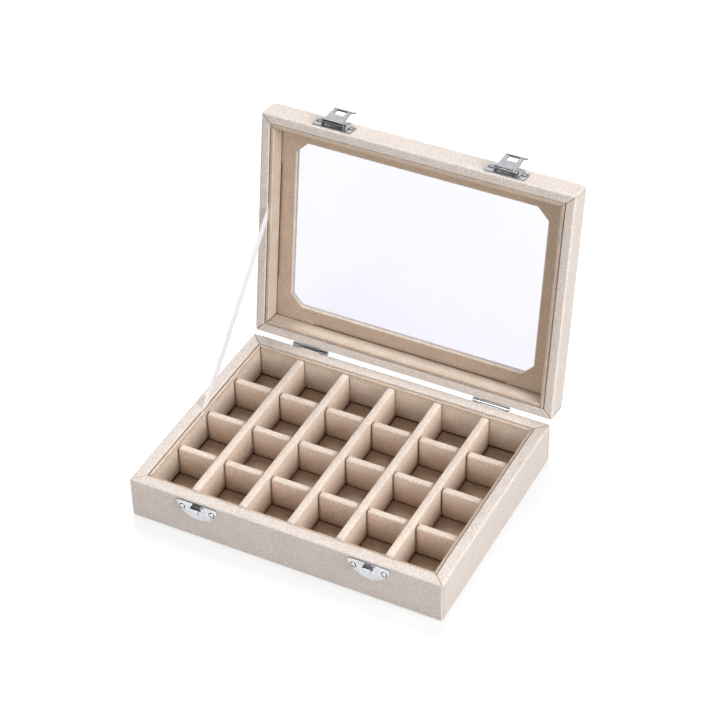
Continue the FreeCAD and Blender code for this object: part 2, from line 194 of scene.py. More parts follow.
class ShaderTree(TreeBuilder):
    """A material's nodes while they are put together."""

    def __init__(self, name: str) -> None:
        """Starts an empty material of that name."""
        self.material = bpy.data.materials.new(name)
        self.material.use_nodes = True
        super().__init__(self.material.node_tree)
        self.output = self.add("ShaderNodeOutputMaterial")
        self.place = self.add("ShaderNodeTexCoord").outputs["Object"]

    def noise(self, size: float, detail: float = 2.0, stretch: Sequence[float] = (1, 1, 1),
              place: Socket | None = None) -> Socket:
        """Makes a noise with lumps of about a given size.

        Args:
            size: width of a lump in millimetres.
            detail: how many finer layers there are.
            stretch: how many times shorter the lumps are along each axis.
            place: coordinates in metres, or the object's own.

        Returns:
            The noise's value, from 0 to 1.
        """
        mapping = self.add("ShaderNodeMapping", {"Vector": place or self.place, "Scale": stretch})
        lumps = {"Vector": mapping.outputs["Vector"], "Scale": 1 / (size * MM), "Detail": detail}
        return self.add("ShaderNodeTexNoise", lumps).outputs["Fac"]

    def spread(self, value: Socket, source: Span, target: Span = FULL) -> Socket:
        """Maps a value from one range to another and keeps it inside."""
        limits = zip(("From Min", "From Max", "To Min", "To Max"), source + target)
        return self.add("ShaderNodeMapRange", {"Value": value, **dict(limits)}, clamp=True).outputs["Result"]

    def mix(self, share: Any, first: Any, second: Any, mode: str = "MIX") -> Socket:
        """Mixes two colours by a share."""
        node = self.add("ShaderNodeMix", data_type="RGBA", blend_type=mode)
        sockets = {socket.identifier: socket for socket in (*node.inputs, *node.outputs)}
        for key, value in (("Factor_Float", share), ("A_Color", first), ("B_Color", second)):
            self.feed(sockets[key], value)
        return sockets["Result_Color"]

    def lightened(self) -> Socket:
        """Tells how much paler the surface is drawn, from 0 to 1, from rubbing and as painted light."""
        return self.spread(self.wear(), FULL)

    def shaded(self) -> Socket:
        """Tells how much painted shade the surface carries, from 0 to 1."""
        return self.spread(self.wear(), (-1.0, 0.0), (1.0, 0.0))

    def wear(self) -> Socket:
        """Reads the mark of rubbing, painted light and painted shade that the mesh carries."""
        return self.add("ShaderNodeAttribute", attribute_name=WEAR_AND_SHADING).outputs["Fac"]

    def bump(self, height: Socket, strength: float, depth: float) -> Socket:
        """Turns a height from 0 to 1 into a bumped normal, for a depth in millimetres."""
        inputs = {"Height": height, "Strength": strength, "Distance": depth * MM}
        return self.add("ShaderNodeBump", inputs).outputs["Normal"]

    def principled(self, **values: Any) -> Node:
        """Adds the main shader, with its sockets named in lower case, and shows it."""
        node = self.add("ShaderNodeBsdfPrincipled")
        names = {socket.name.lower().replace(" ", "_"): socket for socket in node.inputs}
        for key, value in values.items():
            self.feed(names[key], value)
        self.show(node.outputs["BSDF"])
        return node

    def show(self, surface: Socket) -> None:
        """Makes a shader the material's surface."""
        self.feed(self.output.inputs["Surface"], surface)


@dataclass(frozen=True)
class Velvet:
    """Short-pile velvet: mottled colour, flecked nap, soft sheen, edges paler from rubbing, painted light
    and shade.
    """

    name: str
    colour: Rgb
    shade: Rgb
    # colours for edges paler from rubbing and for painted light, then for painted shade in creases and slits
    worn_and_painted_light: Rgb
    deep: Rgb
    mottle: float = 9.0
    lightening_span: Span = (0.25, 0.75)
    lightening_share: Span = (0.6, 1.0)
    pebble: float = 0.8
    pebble_span: Span = (0.35, 0.65)
    pebble_depth: float = 0.12
    fleck: float = 0.55
    fleck_span: Span = (0.36, 0.64)
    fleck_depth: float = 0.16
    fleck_lift: float = 0.4
    fleck_warmth: tuple[float, ...] = (1.0, 1.12, 1.25)
    fibre: float = 0.13
    relief: float = 0.5
    roughness: Span = (0.95, 0.8)
    gloss: float = 0.15
    sheen: float = 0.25
    sheen_roughness: float = 0.45

    def material(self) -> Material:
        """Builds the velvet's material."""
        shader = ShaderTree(self.name)
        mottle = shader.noise(self.mottle, detail=3.0)
        flecks = shader.noise(self.fleck)
        pebbles = shader.noise(self.pebble, detail=1.0)
        height = shader.number("MULTIPLY", shader.number("ADD", flecks, shader.noise(self.fibre)), 0.5)
        tone = shader.mix(shader.spread(mottle, MIDDLE), linear(self.shade), linear(self.colour))
        patchy = shader.spread(mottle, self.lightening_span, self.lightening_share)
        # paler from rubbing on edges, and painted light on divider and liner faces, patchy with the mottle
        tone = shader.mix(shader.number("MULTIPLY", shader.lightened(), patchy), tone, linear(self.worn_and_painted_light))
        # painted shade in creases, slits and joints
        tone = shader.mix(shader.shaded(), tone, linear(self.deep))
        hollow = grey(1.0 - self.pebble_depth)
        crown = grey(1.0 + self.pebble_depth)
        dim = tuple(1.0 - warmth * self.fleck_depth for warmth in self.fleck_warmth) + (1.0,)
        lit = grey(1.0 + self.fleck_lift * self.fleck_depth)
        for value, span, low, high in (
            (pebbles, self.pebble_span, hollow, crown),
            (height, self.fleck_span, dim, lit),
        ):
            tone = shader.mix(1.0, tone, shader.mix(shader.spread(value, span), low, high), "MULTIPLY")
        shader.principled(
            base_color=tone,
            roughness=shader.spread(flecks, MIDDLE, self.roughness),
            specular_ior_level=self.gloss,
            sheen_weight=self.sheen,
            sheen_roughness=self.sheen_roughness,
            sheen_tint=linear(self.worn_and_painted_light),
            normal=shader.bump(height, 1.0, self.relief),
        )
        return shader.material


@dataclass(frozen=True)
class Plating:
    """Bright plated steel with faint polishing marks, a little haze, and painted shade in recesses, cut
    edges and pins.
    """

    name: str
    colour: Rgb = (222, 223, 226)
    haze: Rgb = (196, 198, 203)
    # the colour of painted shade and dark reflection, in recesses, on cut edges and on pins
    recess_shade: Rgb = (46, 46, 50)
    cloud: float = 2.4
    cloud_span: Span = (0.35, 0.75)
    mark: float = 0.35
    mark_span: Span = (0.3, 0.75)
    mark_stretch: Place = (0.12, 1.0, 1.0)
    mark_strength: float = 0.015
    mark_depth: float = 0.02
    roughness: Span = (0.07, 0.13)
    recess_roughness: float = 0.5

    def material(self) -> Material:
        """Builds the plating's material."""
        shader = ShaderTree(self.name)
        hazy = shader.spread(shader.noise(self.cloud, detail=3.0), self.cloud_span)
        marks = shader.noise(self.mark, stretch=self.mark_stretch)
        # painted shade: darker, and rougher, where the mesh is marked below 0
        in_shade = shader.shaded()
        bright = shader.mix(hazy, linear(self.colour), linear(self.haze))
        polished = shader.spread(marks, self.mark_span, self.roughness)
        dulled = shader.number("MULTIPLY", in_shade, self.recess_roughness)
        shader.principled(
            base_color=shader.mix(in_shade, bright, linear(self.recess_shade)),
            metallic=1.0,
            roughness=shader.number("ADD", polished, dulled),
            normal=shader.bump(marks, self.mark_strength, self.mark_depth),
        )
        return shader.material


@dataclass(frozen=True)
class PaneGlass:
    """Clear pane with a faint cool tint, a little dust, and no shadow of its own."""

    name: str
    tint: Rgb = (236, 236, 246)
    passing: Rgb = (250, 250, 250)
    dust: float = 14.0
    dust_span: Span = (0.45, 0.8)
    dust_stretch: Place = (1.0, 0.5, 0.5)
    roughness: Span = (0.0, 0.035)
    ior: float = 1.2  # below that of glass, so that the pane mirrors the tray only faintly

    def material(self) -> Material:
        """Builds the glass, which lets the light that falls on other pieces pass straight through."""
        shader = ShaderTree(self.name)
        smears = shader.noise(self.dust, detail=4.0, stretch=self.dust_stretch)
        glass = shader.principled(
            base_color=linear(self.tint),
            roughness=shader.spread(smears, self.dust_span, self.roughness),
            ior=self.ior,
            transmission_weight=1.0,
        )
        clear = shader.add("ShaderNodeBsdfTransparent", {"Color": linear(self.passing)})
        path = shader.add("ShaderNodeLightPath").outputs
        unseen = shader.number("MAXIMUM", path["Is Shadow Ray"], path["Is Diffuse Ray"])
        choose = {0: unseen, 1: glass.outputs["BSDF"], 2: clear.outputs["BSDF"]}
        shader.show(shader.add("ShaderNodeMixShader", choose).outputs["Shader"])
        return shader.material


@dataclass(frozen=True)
class RibbonWeave:
    """White ribbon with fine ribs across it, on its own map: u across and v along, in metres."""

    name: str
    colour: Rgb = (244, 243, 247)
    groove: Rgb = (222, 221, 228)
    rib: float = 0.55
    rib_waver: float = 0.4
    rib_span: Span = (0.1, 1.0)
    thread: float = 0.3
    thread_height: float = 0.3
    strength: float = 0.35
    depth: float = 0.08
    roughness: Span = (0.45, 0.6)
    sheen: float = 0.3

    def material(self) -> Material:
        """Builds the ribbon's material, with a wave whose bands repeat every pi / 10 at a scale of 1."""
        shader = ShaderTree(self.name)
        lie = shader.add("ShaderNodeTexCoord").outputs["UV"]
        ribs = {"Vector": lie, "Scale": math.pi / 10 / (self.rib * MM), "Distortion": self.rib_waver}
        wave = shader.add("ShaderNodeTexWave", ribs, wave_type="BANDS", bands_direction="Y")
        threads = shader.noise(self.thread, detail=1.0, place=lie)
        raised_threads = shader.number("MULTIPLY", threads, self.thread_height)
        height = shader.number("ADD", wave.outputs["Fac"], raised_threads)
        risen = shader.spread(height, self.rib_span)
        shader.principled(
            base_color=shader.mix(risen, linear(self.groove), linear(self.colour)),
            roughness=shader.spread(threads, MIDDLE, self.roughness),
            sheen_weight=self.sheen,
            normal=shader.bump(height, self.strength, self.depth),
        )
        return shader.material


@dataclass(frozen=True)
class PressedFibre:
    """Pressed board, card or paper: long fibres and specks in a plain ground."""

    name: str
    ground: Rgb
    fibre: Rgb
    length: float
    roughness: float = 0.85
    unevenness: float = 0.1
    fibre_stretch: Place = (1.0, 3.0, 3.0)
    speck_share: float = 0.25
    height_span: Span = (0.7, 1.3)
    strength: float = 0.3
    depth: float = 0.1

    def material(self) -> Material:
        """Builds the board's material."""
        shader = ShaderTree(self.name)
        fibres = shader.noise(self.length, detail=4.0, stretch=self.fibre_stretch)
        specks = shader.noise(self.speck_share * self.length)
        height = shader.number("ADD", fibres, specks)
        clean = shader.spread(height, self.height_span)
        limits = (self.roughness - self.unevenness, self.roughness + self.unevenness)
        shader.principled(
            base_color=shader.mix(clean, linear(self.fibre), linear(self.ground)),
            roughness=shader.spread(specks, MIDDLE, limits),
            normal=shader.bump(height, self.strength, self.depth),
        )
        return shader.material


class Finishes:
    """The box's finishes, each made once and looked up by its slot."""

    def __init__(self) -> None:
        """Makes every finish."""
        finishes = {
            # each velvet: colour, mottle's darker tone, paler tone for rubbing and painted light, deep tone
            # for painted shade
            Slot.OUTER_VELVET: Velvet("outer_velvet", (232, 222, 215), (228, 217, 209), (238, 229, 223),
                                      (170, 146, 128), fleck=0.65),
            Slot.LINING_VELVET: Velvet("lining_velvet", (212, 191, 170), (205, 183, 161), (238, 225, 214),
                                       (104, 66, 44), sheen=0.5),
            Slot.DIVIDER_VELVET: Velvet("divider_velvet", (229, 205, 184), (222, 196, 174), (240, 227, 216),
                                        (104, 68, 46), sheen=0.5),
            Slot.UNDERSIDE: PressedFibre("backing_paper", (206, 192, 178), (190, 174, 158), 3.0, 0.8),
            Slot.BOARD: PressedFibre("fibreboard", (176, 142, 104), (138, 106, 74), 2.0),
            Slot.CARD: PressedFibre("grey_card", (168, 156, 142), (142, 130, 117), 2.5),
            Slot.GLASS: PaneGlass("pane_glass"),
            Slot.CHROME: Plating("bright_plating"),
            Slot.RIBBON: RibbonWeave("ribbon_weave"),
        }
        self.by_slot = {slot: finish.material() for slot, finish in finishes.items()}

    def __getitem__(self, slot: Slot) -> Material:
        """Looks up the finish of a slot."""
        return self.by_slot[slot]


@dataclass(frozen=True)
class BoxSizes:
    """The sizes that several sub-assemblies share."""

    half_width: float = 100.0
    half_depth: float = 75.0
    base_height: float = 28.5
    lid_bottom: float = 28.8
    lid_top: float = 45.0
    open_angle: float = 98.0
    hinge_y: float = 76.3
    hinge_z: float = 28.65
    cloth: float = 0.8
    base_wall: float = 7.0
    lid_wall: float = 5.8
    edge_round: float = 1.2
    rim_round: float = 0.56
    slit: float = 0.5
    window_cut: float = 6.5

    def opened(self, points: np.ndarray) -> np.ndarray:
        """Turns points of the shut lid to where they are with the lid open."""
        turn = math.radians(-self.open_angle)
        y = points[:, 1] - self.hinge_y
        z = points[:, 2] - self.hinge_z
        turned_y = self.hinge_y + y * math.cos(turn) - z * math.sin(turn)
        turned_z = self.hinge_z + y * math.sin(turn) + z * math.cos(turn)
        return np.stack([points[:, 0], turned_y, turned_z], axis=1)

    def from_sides(self, points: np.ndarray) -> tuple[np.ndarray, np.ndarray]:
        """Tells how far in points lie from the left or right side, and from the front or back."""
        return self.half_width - np.abs(points[:, 0]), self.half_depth - np.abs(points[:, 1])


@dataclass(frozen=True)
class Stations:
    """Where a ring is sampled: round each corner, closely beside it and evenly between."""

    sizes: BoxSizes
    corner_steps: int = 8
    beside: tuple[float, ...] = (0.2, 0.4, 0.6, 0.9, 1.3, 1.8, 2.6, 4.0, 6.0, 9.0, 13.0)
    side_steps: int = 24

    def ring(self, inset: float, radius: float, cut: bool = False) -> np.ndarray:
        """Goes once round the box, counterclockwise from its front right corner.

        Args:
            inset: how far in from the box's sides the ring lies.
            radius: the size of its corners.
            cut: True where the corners are cut straight across instead of rounded.

        Returns:
            The x and y of each station.
        """
        half_x = self.sizes.half_width - inset
        half_y = self.sizes.half_depth - inset
        shares = np.linspace(0, 1, self.corner_steps + 1)
        corners = []
        for turn, (sign_x, sign_y) in enumerate(((1, -1), (1, 1), (-1, 1), (-1, -1))):
            angles = QUARTER * (turn - 1 + shares)
            around = np.stack([np.cos(angles), np.sin(angles)], axis=1)
            if cut:
                around = around[0] + np.outer(shares, around[-1] - around[0])
            centre = np.array([sign_x * (half_x - radius), sign_y * (half_y - radius)])
            corners.append(centre + radius * around)
        rows = []
        for corner, following in zip(corners, corners[1:] + corners[:1]):
            side = following[0] - corner[-1]
            close = np.array(self.beside) / np.linalg.norm(side)
            even = np.linspace(close[-1], 1 - close[-1], self.side_steps + 1)[1:-1]
            rows.append(corner)
            rows.append(corner[-1] + np.outer(np.concatenate([close, even, 1 - close[::-1]]), side))
        return np.concatenate(rows)

    def window(self, margin: float) -> np.ndarray:
        """Goes round the window's opening, at a margin from the lid's sides."""
        return self.ring(margin, self.sizes.window_cut, cut=True)


class Surface(NamedTuple):
    """A drawn surface.

    Its points are x, y and z in millimetres, and its faces are made of their points' numbers. Each point
    may carry a mark from -1 for painted shade deep in a crease to 1 on edges paler from rubbing and on faces
    with painted light.
    """

    points: np.ndarray
    faces: Faces
    wear: np.ndarray | None = None


def raised(ring: np.ndarray, height: float) -> np.ndarray:
    """Gives a flat ring a height."""
    return np.column_stack([ring, np.full(len(ring), height)])


def bell(offset: np.ndarray, width: float) -> np.ndarray:
    """Falls from 1 in the middle to nothing a few widths away."""
    return np.exp(-((offset / width) ** 2))


def loft(rings: Sequence[np.ndarray], closed: bool = True) -> tuple[np.ndarray, Faces]:
    """Joins rings of as many points each into one surface.

    Args:
        rings: closed rings of x, y and z, in order.
        closed: True where the last ring joins the first. Otherwise both ends get a face.

    Returns:
        The points, and the faces by their points' numbers.
    """
    size = len(rings[0])
    faces: Faces = []
    for row in range(len(rings) - (0 if closed else 1)):
        low = row * size
        high = (row + 1) % len(rings) * size
        for step in range(size):
            after = (step + 1) % size
            faces.append((low + step, low + after, high + after, high + step))
    if not closed:
        faces.append(tuple(range(size)))
        faces.append(tuple(range((len(rings) - 1) * size, len(rings) * size)))
    return np.concatenate(rings), faces


def make_mesh(name: str, points: np.ndarray, faces: Faces) -> Mesh:
    """Makes a mesh from points in millimetres."""
    mesh = bpy.data.meshes.new(name)
    mesh.from_pydata((points * MM).tolist(), [], faces)
    return mesh


def place_object(name: str, data: bpy.types.ID) -> Piece:
    """Puts a mesh, lamp or camera into the scene as an object of that name."""
    thing = bpy.data.objects.new(name, data)
    bpy.context.scene.collection.objects.link(thing)
    return thing


def mark_wear_and_shading(mesh: Mesh, wear: np.ndarray, domain: str = "POINT") -> None:
    """Writes on a mesh each point's or face's mark of rubbing, painted light and painted shade."""
    mesh.attributes.new(WEAR_AND_SHADING, "FLOAT", domain).data.foreach_set("value", wear.astype(np.float32))


def shade_smooth(mesh: Mesh, sharp: float) -> None:
    """Shades a mesh smooth, apart from edges past an angle in degrees."""
    mesh.shade_smooth()
    mesh.set_sharp_from_angle(angle=math.radians(sharp))


def keep_modified(piece: Piece) -> None:
    """Gives an object the mesh that its modifiers make, and drops them."""
    graph = bpy.context.evaluated_depsgraph_get()
    mesh = bpy.data.meshes.new_from_object(piece.evaluated_get(graph), depsgraph=graph)
    piece.modifiers.clear()
    piece.data = mesh


def make_piece(name: str, surface: Surface, material: Material | None = None, sharp: float = 40.0) -> Piece:
    """Makes an object from a surface, with every face turned outwards.

    Args:
        name: the piece's name.
        surface: what the piece is made of.
        material: the piece's finish, if it gets it here.
        sharp: the angle past which an edge stays sharp, in degrees.

    Returns:
        The new object, at the origin.
    """
    mesh = make_mesh(name, surface.points, surface.faces)
    if surface.wear is not None:
        mark_wear_and_shading(mesh, surface.wear)
    shell = bmesh.new()
    shell.from_mesh(mesh)
    bmesh.ops.recalc_face_normals(shell, faces=shell.faces)
    shell.to_mesh(mesh)
    shell.free()
    shade_smooth(mesh, sharp)
    if material:
        mesh.materials.append(material)
    return place_object(name, mesh)


def dress(piece: Piece, body: Body, slot: Slot, *nodes: str) -> None:
    """Puts a finished piece on its body, and hides the nodes that it stands for."""
    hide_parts(*nodes)
    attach(piece, body.value)
    LOG.info("%s rides on %s: %d faces", piece.name, body.value, len(piece.data.polygons))


class SectionPoint(NamedTuple):
    """A point of a wrapped wall's section."""

    inset: float
    height: float
    zone: Zone
    wear: float = 0.0


def arc(centre: Span, radius: float, angles: Span, zone: Zone, wear: float = 0.0,
        steps: int = 6) -> list[SectionPoint]:
    """Rounds a section's corner from one angle to another, in degrees.

    Args:
        centre: inset and height of the corner's middle.
        radius: the corner's radius.
        angles: where the arc starts and ends, 0 being further in and 90 being up.
        zone: where the arc lies.
        wear: how much paler the middle of the arc is drawn, from rubbing.
        steps: how many runs make the arc.

    Returns:
        The arc's points, both ends among them.
    """
    points = []
    for step in range(steps + 1):
        share = step / steps
        angle = math.radians(angles[0] + share * (angles[1] - angles[0]))
        inset = centre[0] + radius * math.cos(angle)
        height = centre[1] + radius * math.sin(angle)
        points.append(SectionPoint(inset, height, zone, wear * math.sin(math.pi * share)))
    return points


def run(start: Span, end: Span, zone: Zone, steps: int = 6, wear: float = 0.0) -> list[SectionPoint]:
    """Divides a straight part of a section, without its two ends.

    Args:
        start: inset and height where the part starts.
        end: inset and height where it ends.
        zone: where the part lies.
        steps: how many runs make it.
        wear: its mark, above 0 for painted light and below 0 for painted shade.

    Returns:
        The points between the two ends.
    """
    shares = [step / steps for step in range(1, steps)]
    pairs = [(start[0] + s * (end[0] - start[0]), start[1] + s * (end[1] - start[1])) for s in shares]
    return [SectionPoint(inset, height, zone, wear) for inset, height in pairs]


def points_at(zone: Zone, *spots: Span) -> list[SectionPoint]:
    """Gives the sharp corners of a section at those insets and heights."""
    return [SectionPoint(inset, height, zone) for inset, height in spots]


@dataclass
class WrappedShell(ABC):
    """A wall wrapped in velvet: a section carried round the box, with folded corners."""

    sizes: BoxSizes
    stations: Stations
    rim_faces: float = 1.0  # -1 where the rim faces down
    corner_round: float = 0.12
    lap: float = 0.35
    lap_reach: float = 7.0
    groove: float = 0.42
    groove_width: float = 0.32
    seam_offset: float = 0.6
    # painted shade in the folds' creases and down the inside into the slit
    painted_shade: float = 0.9
    rubbed_rim: float = 0.8

    @abstractmethod
    def section(self) -> list[SectionPoint]:
        """Gives the closed section of the wall."""

    def flat_ring(self, point: SectionPoint) -> np.ndarray:
        """Carries a point of the section round the box."""
        return self.stations.ring(point.inset, max(self.sizes.edge_round - point.inset, self.corner_round))

    def folded(self, ring: np.ndarray, zone: Zone) -> tuple[np.ndarray, np.ndarray]:
        """Presses the corner folds into a ring.

        Args:
            ring: the ring's points.
            zone: where on the wall the ring lies.

        Returns:
            The points with a lapped mitre across the rim, or a seam beside the upright corners, and how
            deep in the crease each one lies, from 0 to 1.
        """
        edge = self.sizes.edge_round
        bent = ring.copy()
        crease = np.zeros(len(ring))
        from_x, from_y = self.sizes.from_sides(ring)
        if zone is Zone.RIM:
            across = (from_x - from_y) / math.sqrt(2)
            beyond = 0.5 * (1 - np.tanh(across / self.groove_width))
            under = beyond * bell(across, self.lap_reach)
            crease = bell(across, self.groove_width)
            bent[:, 2] -= self.rim_faces * (self.lap * under + self.groove * crease)
        if zone is Zone.SIDE:
            on_end = from_x < edge / 2
            crease = np.where(on_end, bell(from_y - edge - self.seam_offset, self.groove_width), 0.0)
            bent[:, 0] -= np.sign(ring[:, 0]) * self.groove * crease
        return bent, crease

    def surface(self) -> Surface:
        """Carries the whole section round and folds its corners."""
        section = self.section()
        folds = [self.folded(raised(self.flat_ring(p), p.height), p.zone) for p in section]
        # the folds' creases get painted shade
        wear = [p.wear - (p.wear + self.painted_shade) * crease for p, (ring, crease) in zip(section, folds)]
        return Surface(*loft([ring for ring, crease in folds]), np.concatenate(wear))


@dataclass
class BaseShell(WrappedShell):
    """The velvet round the base: outside, over the rim, down the inside and turned under."""

    skin_bottom: float = 0.6
    board_bottom: float = 1.4
    tray_bottom: float = 3.8
    turn_in: float = 12.0
    rubbed_foot: float = 0.5

    def section(self) -> list[SectionPoint]:
        """Gives the section from the turned-in edge, up the outside and down the inside."""
        cloth = self.sizes.cloth
        big = self.sizes.edge_round
        small = self.sizes.rim_round
        low = self.skin_bottom
        top = self.sizes.base_height
        wall = self.sizes.base_wall
        points = points_at(Zone.UNDER, (self.turn_in, low))
        points += run((self.turn_in, low), (big, low), Zone.UNDER, steps=4)
        points += arc((big, low + big), big, (270, 180), Zone.SIDE, self.rubbed_foot)
        points += run((0, low + big), (0, top - big), Zone.SIDE, steps=8)
        points += arc((big, top - big), big, (180, 90), Zone.RIM, 1.0)
        points += run((big, top), (wall - small, top), Zone.RIM)
        points += arc((wall - small, top - small), small, (90, 0), Zone.RIM, self.rubbed_rim, steps=4)
        # painted shade down the inside face into the slit
        points += run((wall, top - small), (wall, self.tray_bottom), Zone.INSIDE, steps=5, wear=-self.painted_shade)
        points += points_at(Zone.HIDDEN, (wall, self.tray_bottom), (wall - cloth, self.tray_bottom))
        points += points_at(Zone.HIDDEN, (wall - cloth, top - cloth), (cloth, top - cloth))
        return points + points_at(Zone.HIDDEN, (cloth, self.board_bottom), (self.turn_in, self.board_bottom))

    def build(self, finishes: Finishes) -> None:
        """Makes the base's velvet."""
        piece = make_piece("base_wrap", self.surface(), finishes[Slot.OUTER_VELVET])
        dress(piece, Body.BASE, Slot.OUTER_VELVET, "base_velvet")


@dataclass
class LidShell(WrappedShell):
    """The velvet round the lid, from the inside over the rim to the edge of the window."""

    rim_faces: float = -1.0
    card_bottom: float = 43.0
    card_top: float = 44.2
    window_margin: float = 18.5
    window_round: float = 0.6

    def section(self) -> list[SectionPoint]:
        """Gives the section from the inside, over the rim, up the outside and in to the window."""
        cloth = self.sizes.cloth
        big = self.sizes.edge_round
        small = self.sizes.rim_round
        soft = self.window_round
        low = self.sizes.lid_bottom
        top = self.sizes.lid_top
        wall = self.sizes.lid_wall
        edge = self.window_margin
        points = points_at(Zone.INSIDE, (wall, self.card_bottom))
        # painted shade down the inside face into the slit
        points += run((wall, self.card_bottom), (wall, low + small), Zone.INSIDE, steps=4, wear=-self.painted_shade)
        points += arc((wall - small, low + small), small, (0, -90), Zone.RIM, self.rubbed_rim, steps=4)
        points += run((wall - small, low), (big, low), Zone.RIM)
        points += arc((big, low + big), big, (270, 180), Zone.RIM, 1.0)
        points += run((0, low + big), (0, top - big), Zone.SIDE)
        points += arc((big, top - big), big, (180, 90), Zone.SIDE, 1.0)
        points += run((big, top), (edge - soft, top), Zone.TOP, steps=8)
        points += arc((edge - soft, top - soft), soft, (90, 0), Zone.WINDOW, self.rubbed_rim, steps=4)
        points += points_at(Zone.WINDOW, (edge, self.card_bottom))
        points += points_at(Zone.WINDOW, (edge - cloth, self.card_bottom), (edge - cloth, self.card_top))
        points += points_at(Zone.HIDDEN, (cloth, self.card_top), (cloth, low + cloth))
        return points + points_at(Zone.HIDDEN, (wall - cloth, low + cloth), (wall - cloth, self.card_bottom))

    def flat_ring(self, point: SectionPoint) -> np.ndarray:
        """Carries a point round the lid, and on the top turns the outline into the window's."""
        if point.zone is Zone.WINDOW:
            return self.stations.window(point.inset)
        if point.zone is not Zone.TOP:
            return super().flat_ring(point)
        start = self.sizes.edge_round
        end = self.window_margin - self.window_round
        share = (point.inset - start) / (end - start)
        outer = self.stations.ring(start, self.corner_round)
        return outer + share * (self.stations.window(end) - outer)

    def build(self, finishes: Finishes) -> None:
        """Makes the lid's velvet."""
        shut = self.surface()
        opened = shut._replace(points=self.sizes.opened(shut.points))
        piece = make_piece("lid_wrap", opened, finishes[Slot.OUTER_VELVET])
        dress(piece, Body.LID, Slot.OUTER_VELVET, "lid_velvet")


@dataclass
class LinerRing:
    """Four velvet-covered strips round the inside of a wall, mitred where they meet."""

    sizes: BoxSizes
    stations: Stations
    outer: float
    thickness: float
    root: float
    edge: float
    soft: float = 0.7
    corner_round: float = 0.1
    gap: float = 0.3
    gap_width: float = 0.5
    # painted light on the strip's inner face, which fades to painted shade at its root
    pale: float = 0.7
    lightened: float = 0.8
    painted_shade: float = 0.9
    painted_shade_reach: float = 0.8
    painted_shade_steps: tuple[float, ...] = (1.0, 0.5, 0.2, 0.0)

    def section(self) -> list[SectionPoint]:
        """Gives the strip's closed section, from its hidden root over its soft edge."""
        way = 1.0 if self.edge > self.root else -1.0
        turn = self.edge - way * self.soft
        inner = self.outer + self.thickness
        points = points_at(Zone.HIDDEN, (self.outer, self.root))
        # the strip's outer face, in the slit, gets painted shade
        points += run((self.outer, self.root), (self.outer, turn), Zone.HIDDEN, steps=3, wear=-self.painted_shade)
        up = 90 * way
        soft = self.soft
        points += arc((self.outer + soft, turn), soft, (180, 180 - up), Zone.RIM, self.lightened, steps=5)
        points += arc((inner - soft, turn), soft, (up, 0), Zone.INSIDE, self.lightened, steps=5)
        shade_limit = self.root + way * self.painted_shade_reach
        points += run((inner, turn), (inner, shade_limit), Zone.INSIDE, steps=6, wear=self.pale)
        for rise in self.painted_shade_steps:
            wear = self.pale - (self.pale + self.painted_shade) * math.exp(-FADED * rise)
            points.append(SectionPoint(inner, self.root + way * rise * self.painted_shade_reach, Zone.INSIDE, wear))
        return points

    def surface(self) -> Surface:
        """Carries the section round and opens a fine gap at each mitre."""
        rings = []
        wear = []
        for point in self.section():
            ring = raised(self.stations.ring(point.inset, self.corner_round), point.height)
            crease = np.zeros(len(ring))
            if point.zone is Zone.INSIDE:
                from_x, from_y = self.sizes.from_sides(ring)
                crease = bell(from_x - from_y, self.gap_width)
                ring[:, :2] += np.sign(ring[:, :2]) * self.gap * crease[:, None]
            rings.append(ring)
            # painted shade in the mitre gaps
            wear.append(point.wear - (point.wear + self.painted_shade) * crease)
        return Surface(*loft(rings), np.concatenate(wear))


